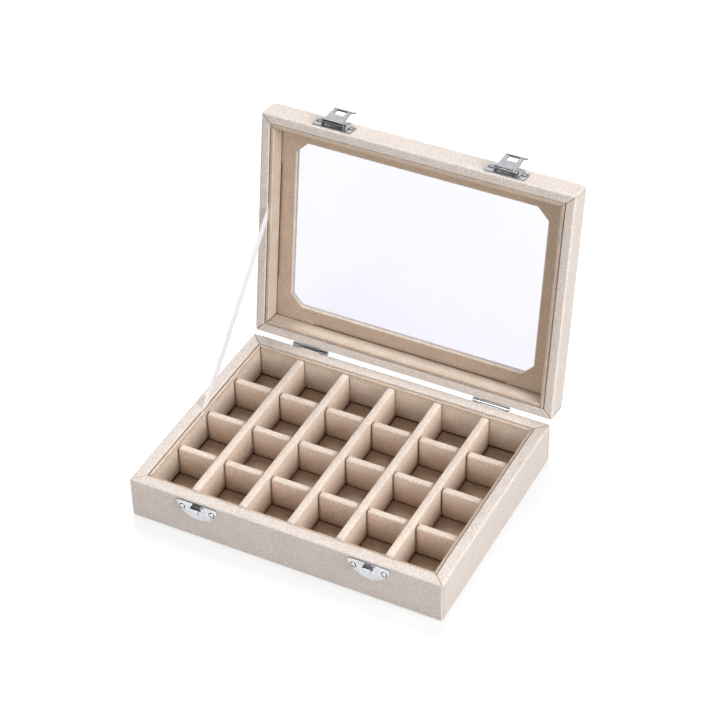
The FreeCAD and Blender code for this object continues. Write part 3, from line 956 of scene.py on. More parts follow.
@dataclass
class DividerBar:
    """A velvet-covered bar with a softened top and ends, standing along Y or X."""

    length: float
    thickness: float
    foot: float
    top: float
    end_round: float = 0.6
    end_steps: tuple[float, ...] = (1.2, 0.6)
    ridge_round: float = 1.4
    shoulder: float = 0.0
    shoulder_share: float = 0.7
    foot_round: float = 0.4
    painted_shade_reach: float = 0.7
    pale: float = 0.35
    pale_reach: float = 13.0
    rubbed_and_lit_band: Span = (0.9, 0.2)  # from which to which share of the ridge's round it is drawn paler, from rubbing and painted light on the lit top
    ridge_steps: int = 6
    level_steps: int = 4
    end_round_steps: int = 5
    length_steps: int = 24
    sharp: float = 60.0

    def section(self, shrink: float, drop: float) -> np.ndarray:
        """Gives the bar's section as across and up, made smaller by a shrink and lower by a drop."""
        half = self.thickness / 2 - shrink
        top = self.top - shrink - drop
        turn = self.ridge_round
        middle = top - turn
        soft = self.foot_round
        angles = np.linspace(0, QUARTER, self.ridge_steps + 1)
        corner = [(half - turn + turn * math.cos(a), middle + turn * math.sin(a)) for a in angles]
        shade_limit = self.foot + FADED * self.painted_shade_reach
        parts = ((self.foot + soft, shade_limit), (shade_limit, middle))
        levels = np.concatenate([np.linspace(*part, self.level_steps + 1)[:-1] for part in parts])
        right = [(half - soft, self.foot)] + [(half, level) for level in levels] + corner
        left = [(-across, up) for across, up in reversed(right)]
        return np.array(right + [(0.0, top)] + left)

    def unit(self, along_x: bool) -> Piece:
        """Makes one bar in the middle of the box.

        Args:
            along_x: True for a bar that runs left to right.

        Returns:
            The bar as an object, for a tree of nodes to repeat.
        """
        half = self.length / 2
        soft = self.end_round
        turns = np.linspace(0, QUARTER, self.end_round_steps + 1)
        ends = [(half - soft - reach, 0.0) for reach in self.end_steps]
        ends += [(half - soft * (1 - math.sin(a)), soft * (1 - math.cos(a))) for a in turns]
        start = [(-along, shrink) for along, shrink in reversed(ends)]
        inner = ends[0][0]
        middle = [(along, 0.0) for along in np.linspace(-inner, inner, self.length_steps + 1)[1:-1]]
        rings = []
        for along, shrink in start + middle + ends:
            near = max(self.shoulder - (half - abs(along)), 0.0)
            drop = self.shoulder - math.sqrt(max(self.shoulder ** 2 - near ** 2, 0.0))
            across, up = self.section(shrink, self.shoulder_share * drop).T
            plan = (np.full(len(up), along), across)
            rings.append(np.column_stack([*(plan if along_x else plan[::-1]), up]))
        points, faces = loft(rings, closed=False)
        wear = self.wear(points[:, 2], points[:, 0 if along_x else 1])
        return make_piece("divider_unit", Surface(points, faces, wear), sharp=self.sharp)

    def wear(self, up: np.ndarray, along: np.ndarray) -> np.ndarray:
        """Tells how a bar is drawn: paler on its ridge from rubbing and painted light, with painted light
        fading down its sides and painted shade at its foot and ends.

        Args:
            up: how high each point lies.
            along: how far along the bar each one lies from the middle.

        Returns:
            Each point's mark, from -1 to 1.
        """
        low, high = [self.top - share * self.ridge_round for share in self.rubbed_and_lit_band]
        ridge = np.clip((up - low) / (high - low), 0.0, 1.0)
        above = np.maximum(up - self.foot, 0.0)
        from_end = self.length / 2 - np.abs(along)
        # painted shade at the foot and the ends
        darkened = np.exp(-above / self.painted_shade_reach) + np.exp(-from_end / self.painted_shade_reach)
        darkened = np.clip(darkened, 0.0, 1.0)
        # painted light, fading down the sides from the top
        pale = self.pale * np.clip(1 - (self.top - up) / self.pale_reach, 0.0, 1.0)
        return ridge + (1 - ridge) * (pale * (1 - darkened) - darkened)


class NodeTree(TreeBuilder):
    """A tree of geometry nodes while it is put together, with named inputs."""

    def __init__(self, name: str) -> None:
        """Starts a tree with a geometry input and output."""
        super().__init__(bpy.data.node_groups.new(name, "GeometryNodeTree"))
        self.tree.is_modifier = True
        for way in ("INPUT", "OUTPUT"):
            self.tree.interface.new_socket("Geometry", in_out=way, socket_type="NodeSocketGeometry")
        self.entry = self.add("NodeGroupInput")
        self.exit = self.add("NodeGroupOutput")
        self.names: dict[str, str] = {}

    def ask(self, kind: str, *names: str) -> list[Socket]:
        """Adds named inputs of a kind such as Float, Int, Object or Material."""
        asked = []
        for name in names:
            item = self.tree.interface.new_socket(name, in_out="INPUT", socket_type="NodeSocket" + kind)
            self.names[name] = item.identifier
            asked.append(next(s for s in self.entry.outputs if s.identifier == item.identifier))
        return asked

    def vector(self, x: Any, y: Any, z: Any) -> Socket:
        """Puts three numbers together."""
        return self.add("ShaderNodeCombineXYZ", {0: x, 1: y, 2: z}).outputs[0]

    def random(self, low: Any, high: Any, seed: Socket) -> Socket:
        """Draws a number between two for each point."""
        node = self.add("FunctionNodeRandomValue", {"Seed": seed}, data_type="FLOAT")
        limits = [socket for socket in node.inputs if socket.enabled]
        self.feed(limits[0], low)
        self.feed(limits[1], high)
        return next(socket for socket in node.outputs if socket.enabled)

    def moved(self, geometry: Socket, way: Socket) -> Socket:
        """Moves geometry by a vector."""
        inputs = {"Geometry": geometry, "Translation": way}
        return self.add("GeometryNodeTransform", inputs).outputs["Geometry"]

    def repeat(self, points: Socket, piece: Socket, rotation: Socket, material: Socket) -> None:
        """Ends the tree: a piece on each point, as one mesh with its material.

        Args:
            points: where the pieces go.
            piece: the geometry that is repeated.
            rotation: how each one is turned.
            material: what they are made of.
        """
        spots = {"Points": points, "Instance": piece, "Rotation": rotation}
        instances = self.add("GeometryNodeInstanceOnPoints", spots).outputs["Instances"]
        realized = self.add("GeometryNodeRealizeInstances", {"Geometry": instances}).outputs["Geometry"]
        paint = self.add("GeometryNodeSetMaterial", {"Geometry": realized, "Material": material})
        self.feed(self.exit.inputs[0], paint.outputs["Geometry"])

    def run_on(self, piece: Piece, values: dict[str, Any]) -> None:
        """Runs the tree on an object and keeps the result as its plain mesh.

        Args:
            piece: the object whose mesh the tree starts from.
            values: the tree's inputs by name.
        """
        modifier = piece.modifiers.new(self.tree.name, "NODES")
        modifier.node_group = self.tree
        for name, value in values.items():
            modifier[self.names[name]] = value
        keep_modified(piece)


class DividerRows(NodeTree):
    """Repeats a divider in even columns and rows, each one a little out of true."""

    def __init__(self) -> None:
        """Builds the tree."""
        super().__init__("divider_rows")
        unit, = self.ask("Object", "Divider")
        columns, rows, seed = self.ask("Int", "Columns", "Rows", "Seed")
        column_pitch, row_pitch, sway = self.ask("Float", "Column Pitch", "Row Pitch", "Sway")
        material, = self.ask("Material", "Velvet")
        grid = self.add("GeometryNodeMeshGrid", {
            "Vertices X": columns,
            "Vertices Y": rows,
            "Size X": self.extent(columns, column_pitch),
            "Size Y": self.extent(rows, row_pitch),
        })
        divider = self.add("GeometryNodeObjectInfo", {"Object": unit}).outputs["Geometry"]
        turn = self.random(self.number("MULTIPLY", sway, -1.0), sway, seed)
        self.repeat(grid.outputs["Mesh"], divider, self.vector(0.0, 0.0, turn), material)

    def extent(self, count: Socket, pitch: Socket) -> Socket:
        """Works out how far it is from the first to the last of a row."""
        return self.number("MULTIPLY", self.number("SUBTRACT", count, 1.0), pitch)


@dataclass
class Tray:
    """The inside of the base: liner strips, a floor and the dividers."""

    sizes: BoxSizes
    stations: Stations
    columns: int = 6
    rows: int = 4
    liner: float = 1.7
    liner_drop: float = 0.8
    floor_bottom: float = 3.8
    floor_top: float = 6.0
    floor_reach: float = 7.2
    floor_dip: float = 1.1
    dip_reach: float = 0.5
    crease_reach: float = 0.8
    beside: tuple[float, ...] = (0.0, 0.35, 0.8, 1.5, 2.8, 5.0, 8.0)
    long_thickness: float = 5.0
    long_top: float = 27.0
    # more painted light on the long dividers' sides than on the short ones'
    long_pale: float = 0.6
    long_pale_reach: float = 26.0
    cross_thickness: float = 4.6
    cross_top: float = 25.3
    cross_shoulder: float = 2.2
    bar_gap: float = 0.5
    bar_sink: float = 0.9
    sway: float = 0.0018

    def half_sizes(self) -> tuple[float, float]:
        """Gives half of the width and depth between the liners."""
        lost = self.sizes.base_wall + self.sizes.slit + self.liner
        return self.sizes.half_width - lost, self.sizes.half_depth - lost

    def cell_sizes(self) -> tuple[float, float]:
        """Gives the width and depth of one cell."""
        half_x, half_y = self.half_sizes()
        width = (2 * half_x - (self.columns - 1) * self.long_thickness) / self.columns
        depth = (2 * half_y - (self.rows - 1) * self.cross_thickness) / self.rows
        return width, depth

    def build(self, finishes: Finishes) -> None:
        """Makes the liners, the floor and the dividers."""
        outer = self.sizes.base_wall + self.sizes.slit
        edge = self.sizes.base_height - self.liner_drop
        ring = LinerRing(self.sizes, self.stations, outer, self.liner, self.floor_top, edge)
        liners = make_piece("tray_liners", ring.surface(), finishes[Slot.LINING_VELVET])
        dress(liners, Body.BASE, Slot.LINING_VELVET, *("tray_liner_" + side for side in SIDES))
        floor = make_piece("tray_floor_velvet", self.floor_surface(), finishes[Slot.LINING_VELVET])
        dress(floor, Body.BASE, Slot.LINING_VELVET, "tray_floor")
        self.build_dividers(finishes)

    def cuts(self, half: float, reach: float, cell: float, wall: float,
             count: int) -> tuple[np.ndarray, np.ndarray]:
        """Divides one direction of the floor, closely beside the walls of each cell.

        Args:
            half: half of the tray between its liners.
            reach: half of the floor, which runs on under the liners.
            cell: the size of a cell.
            wall: the thickness of a divider.
            count: how many cells there are.

        Returns:
            The places of the cuts, and how far each is from the nearest wall.
        """
        inside = [*self.beside, cell / 2, *(cell - offset for offset in reversed(self.beside))]
        places = [-reach]
        clear = [0.0]
        for index in range(count):
            start = -half + index * (cell + wall)
            places += [start + offset for offset in inside]
            clear += [min(offset, cell - offset) for offset in inside]
        return np.array(places + [reach]), np.array(clear + [0.0])

    def floor_surface(self) -> Surface:
        """Draws the floor, which lies a little lower along the walls of each cell."""
        half_x, half_y = self.half_sizes()
        cell_x, cell_y = self.cell_sizes()
        reach_x = self.sizes.half_width - self.floor_reach
        reach_y = self.sizes.half_depth - self.floor_reach
        xs, clear_x = self.cuts(half_x, reach_x, cell_x, self.long_thickness, self.columns)
        ys, clear_y = self.cuts(half_y, reach_y, cell_y, self.cross_thickness, self.rows)
        clear = np.minimum(clear_x[:, None], clear_y[None, :])
        heights = self.floor_top - self.floor_dip * np.exp(-clear / self.dip_reach)
        grid_x, grid_y = np.meshgrid(xs, ys, indexing="ij")
        top = np.stack([grid_x, grid_y, heights], axis=-1).reshape(-1, 3)
        numbers = np.arange(len(top)).reshape(clear.shape)
        quads = (numbers[:-1, :-1], numbers[1:, :-1], numbers[1:, 1:], numbers[:-1, 1:])
        faces: Faces = np.stack(quads, axis=-1).reshape(-1, 4).tolist()
        edges = (numbers[:-1, 0], numbers[-1, :-1], numbers[:0:-1, -1], numbers[0, :0:-1])
        border = np.concatenate(edges).tolist()
        below = top[border].copy()
        below[:, 2] = self.floor_bottom
        first = len(top)
        for step, corner in enumerate(border):
            after = (step + 1) % len(border)
            faces.append((corner, border[after], first + after, first + step))
        faces.append(tuple(range(first, first + len(border))))
        # painted shade on the floor along the walls of each cell
        crease = np.exp(-clear / self.crease_reach).ravel()
        return Surface(np.concatenate([top, below]), faces, np.concatenate([-crease, np.zeros(len(below))]))

    def build_dividers(self, finishes: Finishes) -> None:
        """Makes the long dividers, and the short ones that stand between them."""
        half_y = self.half_sizes()[1]
        cell_x, cell_y = self.cell_sizes()
        foot = self.floor_top - self.bar_sink
        long_bar = DividerBar(2 * (half_y - self.bar_gap), self.long_thickness, foot, self.long_top,
                              pale=self.long_pale, pale_reach=self.long_pale_reach)
        short_bar = DividerBar(cell_x - 2 * self.bar_gap, self.cross_thickness, foot, self.cross_top,
                               shoulder=self.cross_shoulder)
        layouts = (
            ("long_divider", long_bar.unit(False), self.columns - 1, 1, self.columns - 1),
            ("cross_divider", short_bar.unit(True), self.columns, self.rows - 1, self.rows - 1),
        )
        tree = DividerRows()
        for seed, (name, unit, columns, rows, solids) in enumerate(layouts):
            piece = place_object(name + "s", bpy.data.meshes.new(name + "s"))
            tree.run_on(piece, {
                "Divider": unit,
                "Columns": columns,
                "Rows": rows,
                "Column Pitch": (cell_x + self.long_thickness) * MM,
                "Row Pitch": (cell_y + self.cross_thickness) * MM,
                "Sway": self.sway,
                "Seed": seed,
                "Velvet": finishes[Slot.DIVIDER_VELVET],
            })
            bpy.data.objects.remove(unit)
            nodes = [f"{name}_{number}" for number in range(1, solids + 1)]
            dress(piece, Body.BASE, Slot.DIVIDER_VELVET, *nodes)


@dataclass
class LidLining:
    """The inside of the lid: liner strips, the frame that holds the glass, and its corner patches."""

    sizes: BoxSizes
    stations: Stations
    liner: float = 2.4
    liner_drop: float = 0.4
    frame_face: float = 39.9
    glass_face: float = 41.5
    frame_reach: float = 6.0
    corner_round: float = 0.1
    beside: tuple[float, ...] = (0.0, 0.3, 0.8, 1.6, 3.0, 5.0)
    crease_reach: float = 0.7
    window_margin: float = 19.0
    window_round: float = 0.9
    round_steps: int = 6
    patch: float = 0.3
    patch_gap: float = 0.1
    patch_sink: float = 0.1
    patch_edge: tuple[Span, ...] = ((0.0, 0.2), (0.006, 0.06), (0.018, 0.0))  # pulled in, and risen
    crevice: float = 0.45
    # the frame and its corner patches are drawn a little darker all over
    darkened: float = 0.13

    def liner_face(self) -> float:
        """Gives how far in from the lid's sides the liners' faces lie."""
        return self.sizes.lid_wall + self.sizes.slit + self.liner

    def build(self, finishes: Finishes) -> None:
        """Makes the strips, and the glass frame with its four corner patches."""
        outer = self.sizes.lid_wall + self.sizes.slit
        edge = self.sizes.lid_bottom + self.liner_drop
        root = self.frame_face - self.crevice
        ring = LinerRing(self.sizes, self.stations, outer, self.liner, root, edge)
        frame = self.frame_surface()
        for sign_x in (-1, 1):
            for sign_y in (-1, 1):
                points, faces = self.patch_surface(sign_x, sign_y)
                first = len(frame.points)
                frame = Surface(
                    np.concatenate([frame.points, points]),
                    frame.faces + [tuple(first + corner for corner in face) for face in faces],
                    np.concatenate([frame.wear, np.full(len(points), -self.darkened)]),
                )
        for name, shut, nodes in (
            ("lid_liners", ring.surface(), ["lid_liner_" + side for side in SIDES]),
            ("glass_frame", frame, ["glass_retainer"]),
        ):
            opened = shut._replace(points=self.sizes.opened(shut.points))
            piece = make_piece(name, opened, finishes[Slot.LINING_VELVET])
            dress(piece, Body.LID, Slot.LINING_VELVET, *nodes)

    def frame_surface(self) -> Surface:
        """Draws the frame, flat towards the inside and soft at the window's edge."""
        soft = self.window_round
        margin = self.window_margin - soft
        outer = self.stations.ring(self.frame_reach, self.corner_round)
        insets = [self.frame_reach, *(self.liner_face() + offset for offset in self.beside), margin]
        rings = [raised(outer, self.glass_face)]
        worn_and_painted_light = [0.0]
        for inset in insets:
            share = (inset - self.frame_reach) / (margin - self.frame_reach)
            rings.append(raised(outer + share * (self.stations.window(margin) - outer), self.frame_face))
            # painted shade where the frame meets the liners
            crease = math.exp(-max(inset - self.liner_face(), 0.0) / self.crease_reach)
            worn_and_painted_light.append(-self.darkened - (1 - self.darkened) * crease)
        for angle in np.linspace(0, QUARTER, self.round_steps + 1)[1:]:
            ring = self.stations.window(margin + soft * math.sin(angle))
            rings.append(raised(ring, self.frame_face + soft * (1 - math.cos(angle))))
            worn_and_painted_light.append(1.0)
        rings.append(raised(self.stations.window(self.window_margin), self.glass_face))
        return Surface(*loft(rings), np.repeat(worn_and_painted_light + [1.0], len(outer)))

    def patch_surface(self, sign_x: int, sign_y: int) -> tuple[np.ndarray, Faces]:
        """Draws a corner patch as a thin plate with softened edges.

        Its long side carries on the line across the window's corner.

        Args:
            sign_x: -1 for the left and 1 for the right.
            sign_y: -1 for the front and 1 for the back.

        Returns:
            The points and the faces.
        """
        lost = self.liner_face() + self.patch_gap
        half_x = self.sizes.half_width - lost
        half_y = self.sizes.half_depth - lost
        reach = self.sizes.half_width + self.sizes.half_depth
        reach -= 2 * self.window_margin + self.sizes.window_cut
        plan = np.array([(half_x, half_y), (reach - half_y, half_y), (half_x, reach - half_x)])
        plan *= (sign_x, sign_y)
        middle = plan.mean(axis=0)
        rings = [raised(plan, self.frame_face + self.patch_sink)]
        for pull, rise in self.patch_edge:
            rings.append(raised(plan + pull * (middle - plan), self.frame_face - self.patch + rise))
        return loft(rings, closed=False)


@dataclass
class Metalwork:
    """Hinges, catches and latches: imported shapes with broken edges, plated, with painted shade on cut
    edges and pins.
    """

    break_width: float = 0.14
    break_steps: int = 2
    merge: float = 0.002
    flat_angle: float = 1.0
    edge_angle: float = 35.0
    cut_limit: float = 0.3
    # cut edges get painted shade, and pins painted shade and dark reflection
    cut_wear: float = -0.75
    pin_wear: float = -0.9

    def build(self, frame: dict[str, Any], finishes: Finishes) -> None:
        """Makes every metal piece apart from the screws."""
        owners: dict[Body, list[str]] = {Body.BASE: ["catch_left", "catch_right"], Body.LID: []}
        for side, latch in (("left", Body.LEFT_LATCH), ("right", Body.RIGHT_LATCH)):
            owners[Body.BASE] += [f"hinge_{side}_base_leaf", f"hinge_{side}_pin"]
            owners[Body.LID] += [f"hinge_{side}_lid_leaf", f"latch_{side}_plate", f"latch_{side}_pin"]
            owners[latch] = [f"latch_{side}_lever"]
        for body, nodes in owners.items():
            for node in nodes:
                piece = self.plated(frame["nodes"][node], node, finishes[Slot.CHROME])
                self.shade_cut_edges(piece.data, self.pin_wear if node.endswith("pin") else 0.0)
                dress(piece, body, Slot.CHROME, node)

    def plated(self, source: Piece, node: str, material: Material) -> Piece:
        """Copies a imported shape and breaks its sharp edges.

        Args:
            source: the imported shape.
            node: its name.
            material: the plating.

        Returns:
            The new piece.
        """
        shell = bmesh.new()
        shell.from_mesh(source.data)
        bmesh.ops.remove_doubles(shell, verts=shell.verts, dist=self.merge * MM)
        flat = math.radians(self.flat_angle)
        bmesh.ops.dissolve_limit(shell, angle_limit=flat, verts=shell.verts, edges=shell.edges)
        mesh = bpy.data.meshes.new(node + "_plated")
        shell.to_mesh(mesh)
        shell.free()
        mesh.materials.append(material)
        shade_smooth(mesh, self.edge_angle)
        piece = place_object(node + "_plated", mesh)
        bevel = piece.modifiers.new("broken_edges", "BEVEL")
        bevel.harden_normals = True
        bevel.width = self.break_width * MM
        bevel.segments = self.break_steps
        bevel.limit_method = "ANGLE"
        bevel.angle_limit = math.radians(self.edge_angle)
        keep_modified(piece)
        return piece

    def shade_cut_edges(self, mesh: Mesh, rest_shade: float) -> None:
        """Paints shade on the cut edges of a piece, which stand square to the way that most of its area
        faces.

        Args:
            mesh: the piece's mesh.
            rest_shade: how much painted shade and dark reflection the rest of the piece carries.
        """
        normals = np.array([face.normal for face in mesh.polygons])
        areas = np.array([face.area for face in mesh.polygons])
        main = np.linalg.eigh((normals * areas[:, None]).T @ normals)[1][:, -1]
        cut = np.abs(normals @ main) < self.cut_limit
        mark_wear_and_shading(mesh, np.where(cut, self.cut_wear, rest_shade), "FACE")


class ScrewHeads(NodeTree):
    """Puts a domed, cross-recessed screw on each point, facing as the point says, with painted shade round
    it.
    """

    round_steps: int = 28
    fan_steps: int = 7
    shank_steps: int = 12
    rim_share: float = 0.5  # of the head's height, as are the dome's share and the lift
    dome_share: float = 0.65
    lift_share: float = 0.1
    dome_power: float = 2.5
    shadow_ring_share: float = 1.3  # of the head's radius
    shadow_ring_depth: float = 0.08 * MM

    def __init__(self) -> None:
        """Builds the tree."""
        super().__init__("screw_heads")
        radius, height = self.ask("Float", "Head Radius", "Head Height")
        shank_radius, shank_length = self.ask("Float", "Shank Radius", "Shank Length")
        cross = self.ask("Float", "Cross Length", "Cross Width", "Cross Depth")
        seed, = self.ask("Int", "Seed")
        material, = self.ask("Material", "Plating")
        joined = self.add("GeometryNodeJoinGeometry")
        shank = self.rod(self.shank_steps, shank_radius, shank_length)
        below = self.vector(0.0, 0.0, self.number("MULTIPLY", shank_length, -0.5))
        # a thin disc under the head, drawn dark: a painted shadow ring
        shadow_ring = self.rod(self.round_steps, self.number("MULTIPLY", radius, self.shadow_ring_share), self.shadow_ring_depth)
        for part in (self.head(radius, height, *cross), self.moved(shank, below), self.mark_shaded(shadow_ring)):
            self.feed(joined.inputs[0], part)
        facing = self.add("GeometryNodeInputNamedAttribute", {"Name": FACING}, data_type="FLOAT_VECTOR")
        way = next(socket for socket in facing.outputs if socket.enabled)
        aligned = self.add("FunctionNodeAlignEulerToVector", {"Vector": way}, axis="Z")
        spin = self.add("FunctionNodeRotateEuler", {
            "Rotation": aligned.outputs["Rotation"],
            "Axis": (0.0, 0.0, 1.0),
            "Angle": self.random(0.0, QUARTER, seed),
        }, rotation_type="AXIS_ANGLE", space="LOCAL")
        self.repeat(self.entry.outputs[0], joined.outputs[0], spin.outputs["Rotation"], material)

    def rod(self, steps: int, radius: Any, length: Any) -> Socket:
        """Makes an upright round rod about the origin."""
        inputs = {"Vertices": steps, "Radius": radius, "Depth": length}
        return self.add("GeometryNodeMeshCylinder", inputs).outputs["Mesh"]

    def head(self, radius: Socket, height: Socket, length: Socket, width: Socket, depth: Socket) -> Socket:
        """Makes the domed head with its crossed recess.

        Args:
            radius: the head's radius.
            height: the dome's height.
            length: how long the recess is each way.
            width: how wide its slots are.
            depth: how deep they go.

        Returns:
            The head's geometry, seated at z = 0.
        """
        disc = self.add("GeometryNodeMeshCylinder", {
            "Vertices": self.round_steps,
            "Fill Segments": self.fan_steps,
            "Radius": radius,
            "Depth": self.number("MULTIPLY", height, self.rim_share),
        }, fill_type="TRIANGLE_FAN")
        place = self.add("GeometryNodeInputPosition").outputs[0]
        x, y, z = self.add("ShaderNodeSeparateXYZ", {0: place}).outputs
        flat = self.add("ShaderNodeVectorMath", {0: self.vector(x, y, 0.0)}, operation="LENGTH")
        share = self.number("DIVIDE", flat.outputs["Value"], radius)
        dome = self.number("SUBTRACT", 1.0, self.number("POWER", share, self.dome_power))
        upper = self.number("MULTIPLY", dome, self.number("GREATER_THAN", z, 0.0))
        lift = self.number("MULTIPLY", upper, self.number("MULTIPLY", height, self.dome_share))
        seated = self.number("ADD", lift, self.number("MULTIPLY", height, self.lift_share))
        domed = self.add("GeometryNodeSetPosition", {
            "Geometry": disc.outputs["Mesh"],
            "Offset": self.vector(0.0, 0.0, seated),
        })
        cut = self.add("GeometryNodeMeshBoolean", operation="DIFFERENCE", solver="EXACT")
        self.feed(cut.inputs["Mesh 1"], domed.outputs["Geometry"])
        for size in (self.vector(length, width, depth), self.vector(width, length, depth)):
            slot = self.add("GeometryNodeMeshCube", {"Size": size}).outputs["Mesh"]
            self.feed(cut.inputs["Mesh 2"], self.mark_shaded(self.moved(slot, self.vector(0.0, 0.0, height))))
        return cut.outputs["Mesh"]

    def mark_shaded(self, geometry: Socket) -> Socket:
        """Marks geometry to be drawn with painted shade."""
        inputs = {"Geometry": geometry, "Name": WEAR_AND_SHADING}
        store = self.add("GeometryNodeStoreNamedAttribute", inputs, data_type="FLOAT", domain="POINT")
        self.feed(next(s for s in store.inputs if s.name == "Value" and s.enabled), -1.0)
        return store.outputs["Geometry"]


@dataclass
class Screws:
    """The screws of the hinges, catches and latches."""

    sizes: BoxSizes
    head_radius: float = 1.5
    head_height: float = 0.7
    shank_radius: float = 0.7
    shank_length: float = 4.6
    cross_length: float = 1.8
    cross_width: float = 0.42
    cross_depth: float = 0.9
    sharp: float = 35.0
    hinge_reach: float = 61.0
    hinge_spacing: float = 14.0
    hinge_rise: float = 7.0
    hinge_seat: float = 75.6
    latch_reach: float = 55.0
    plate_seat: float = -75.8
    catch_spacing: float = 19.3
    catch_height: float = 22.4
    latch_spacing: float = 20.4
    latch_height: float = 36.2

    def spots(self, reach: float, spacing: float, y: float, z: float) -> np.ndarray:
        """Gives the four places of a left and right pair of screws."""
        xs = [side * reach + part * spacing / 2 for side in (-1, 1) for part in (-1, 1)]
        return np.array([(x, y, z) for x in xs])

    def group(self, hinge_height: float, spacing: float, height: float) -> np.ndarray:
        """Gives the places of four screws in hinges and four in front plates."""
        hinge = self.spots(self.hinge_reach, self.hinge_spacing, self.hinge_seat, hinge_height)
        return np.concatenate([hinge, self.spots(self.latch_reach, spacing, self.plate_seat, height)])

    def build(self, finishes: Finishes) -> None:
        """Makes the base's screws and the lid's."""
        pin = self.sizes.hinge_z
        base = self.group(pin - self.hinge_rise, self.catch_spacing, self.catch_height)
        shut = self.group(pin + self.hinge_rise, self.latch_spacing, self.latch_height)
        facing = np.repeat([[0.0, 1.0, 0.0], [0.0, -1.0, 0.0]], 4, axis=0)
        lid = self.sizes.opened(shut)
        groups = (
            ("base_screws", Body.BASE, base, facing, ("hinge_base_screws", "catch_screws")),
            ("lid_screws", Body.LID, lid, self.sizes.opened(shut + facing) - lid,
             ("hinge_lid_screws", "latch_screws")),
        )
        tree = ScrewHeads()
        for seed, (name, body, points, ways, nodes) in enumerate(groups):
            mesh = make_mesh(name, points, [])
            way = mesh.attributes.new(FACING, "FLOAT_VECTOR", "POINT")
            way.data.foreach_set("vector", ways.astype(np.float32).ravel())
            piece = place_object(name, mesh)
            tree.run_on(piece, {
                "Head Radius": self.head_radius * MM,
                "Head Height": self.head_height * MM,
                "Shank Radius": self.shank_radius * MM,
                "Shank Length": self.shank_length * MM,
                "Cross Length": self.cross_length * MM,
                "Cross Width": self.cross_width * MM,
                "Cross Depth": self.cross_depth * MM,
                "Seed": seed,
                "Plating": finishes[Slot.CHROME],
            })
            shade_smooth(piece.data, self.sharp)
            dress(piece, body, Slot.CHROME, *nodes)


@dataclass
class StayRibbon:
    """The flat ribbon that stops the lid, tight between the left slits of base and lid."""

    sizes: BoxSizes
    width: float = 6.0
    thickness: float = 0.25
    tuck: float = 8.0
    base_reach: float = 75.1
    lid_reach: float = 85.1
    bow: float = 0.25
    spline_order: int = 3
    spline_steps: int = 24
    edge_swell: float = 1.25
    edge_round: float = 0.12
    edge_width: float = 0.7
    sharp: float = 60.0

    def ends(self) -> tuple[np.ndarray, np.ndarray]:
        """Gives the points where the ribbon leaves the base and the lid."""
        size = self.sizes
        base_x = size.base_wall + size.slit / 2 - size.half_width
        lid_x = size.lid_wall + size.slit / 2 - size.half_width
        low = np.array([base_x, size.hinge_y - self.base_reach, size.base_height])
        shut = np.array([[lid_x, size.hinge_y - self.lid_reach, size.lid_bottom]])
        return low, size.opened(shut)[0]

    def line(self, low: np.ndarray, high: np.ndarray) -> np.ndarray:
        """Draws the ribbon's middle line as a smooth spline.

        Args:
            low: where it leaves the base.
            high: where it leaves the lid.

        Returns:
            Points along the spline.
        """
        along = (high - low) / np.linalg.norm(high - low)
        middle = (low + high) / 2 + np.array([self.bow, 0.0, 0.0])
        route = [low - self.tuck * along, low, middle, high, high + self.tuck * along]
        curve = bpy.data.curves.new("ribbon_line", "CURVE")
        curve.dimensions = "3D"
        spline = curve.splines.new("NURBS")
        spline.points.add(len(route) - 1)
        for point, spot in zip(spline.points, route):
            point.co = (*spot, 1.0)
        spline.order_u = self.spline_order
        spline.use_endpoint_u = True
        spline.resolution_u = self.spline_steps
        guide = bpy.data.objects.new("ribbon_line", curve)
        mesh = bpy.data.meshes.new_from_object(guide)
        points = np.array([vertex.co for vertex in mesh.vertices])
        bpy.data.objects.remove(guide)
        bpy.data.curves.remove(curve)
        bpy.data.meshes.remove(mesh)
        return points

    def section(self) -> list[Span]:
        """Gives the ribbon's section as across and through, a little thicker at its woven edges."""
        half = self.width / 2
        thick = self.thickness / 2
        edge = [(self.edge_round - half, self.edge_swell * thick), (self.edge_width - half, thick)]
        upper = edge + [(0.0, thick)] + [(-across, through) for across, through in reversed(edge)]
        lower = [(-across, -through) for across, through in upper]
        return [(-half, 0.0)] + upper + [(half, 0.0)] + lower

    def build(self, finishes: Finishes) -> None:
        """Makes the ribbon with its own map, bent between base and lid."""
        low, high = self.ends()
        line = self.line(low, high)
        along = (high - low) / np.linalg.norm(high - low)
        across = np.cross(along, [1.0, 0.0, 0.0])
        rings = [np.array([spot + a * across + [t, 0.0, 0.0] for a, t in self.section()]) for spot in line]
        surface = Surface(*loft(rings, closed=False))
        piece = make_piece("stay_ribbon_woven", surface, finishes[Slot.RIBBON], self.sharp)
        self.map_weave(piece.data, low, along, across)
        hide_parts("stay_ribbon")
        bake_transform(piece)

    def map_weave(self, mesh: Mesh, low: np.ndarray, along: np.ndarray, across: np.ndarray) -> None:
        """Lays a map on the ribbon: u across and v along, in metres."""
        points = np.array([mesh.vertices[loop.vertex_index].co for loop in mesh.loops]) - low * MM
        places = np.column_stack([points @ across, points @ along])
        mesh.uv_layers.new(name="weave").data.foreach_set("uv", places.astype(np.float32).ravel())


class InnerBoards:
    """The boards, cards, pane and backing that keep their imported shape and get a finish."""

    def build(self, frame: dict[str, Any], finishes: Finishes) -> None:
        """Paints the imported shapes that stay."""
        painted = {f"{part}_{side}_board": Slot.BOARD for part in ("base", "lid") for side in SIDES}
        painted["base_bottom_board"] = Slot.BOARD
        painted["lid_top_card"] = Slot.CARD
        painted["underside_sheet"] = Slot.UNDERSIDE
        painted["glass_pane"] = Slot.GLASS
        for node, slot in painted.items():
            mesh = frame["nodes"][node].data
            mesh.materials.clear()
            mesh.materials.append(finishes[slot])
            LOG.info("%s keeps its shape, finished as %s", node, slot.value)


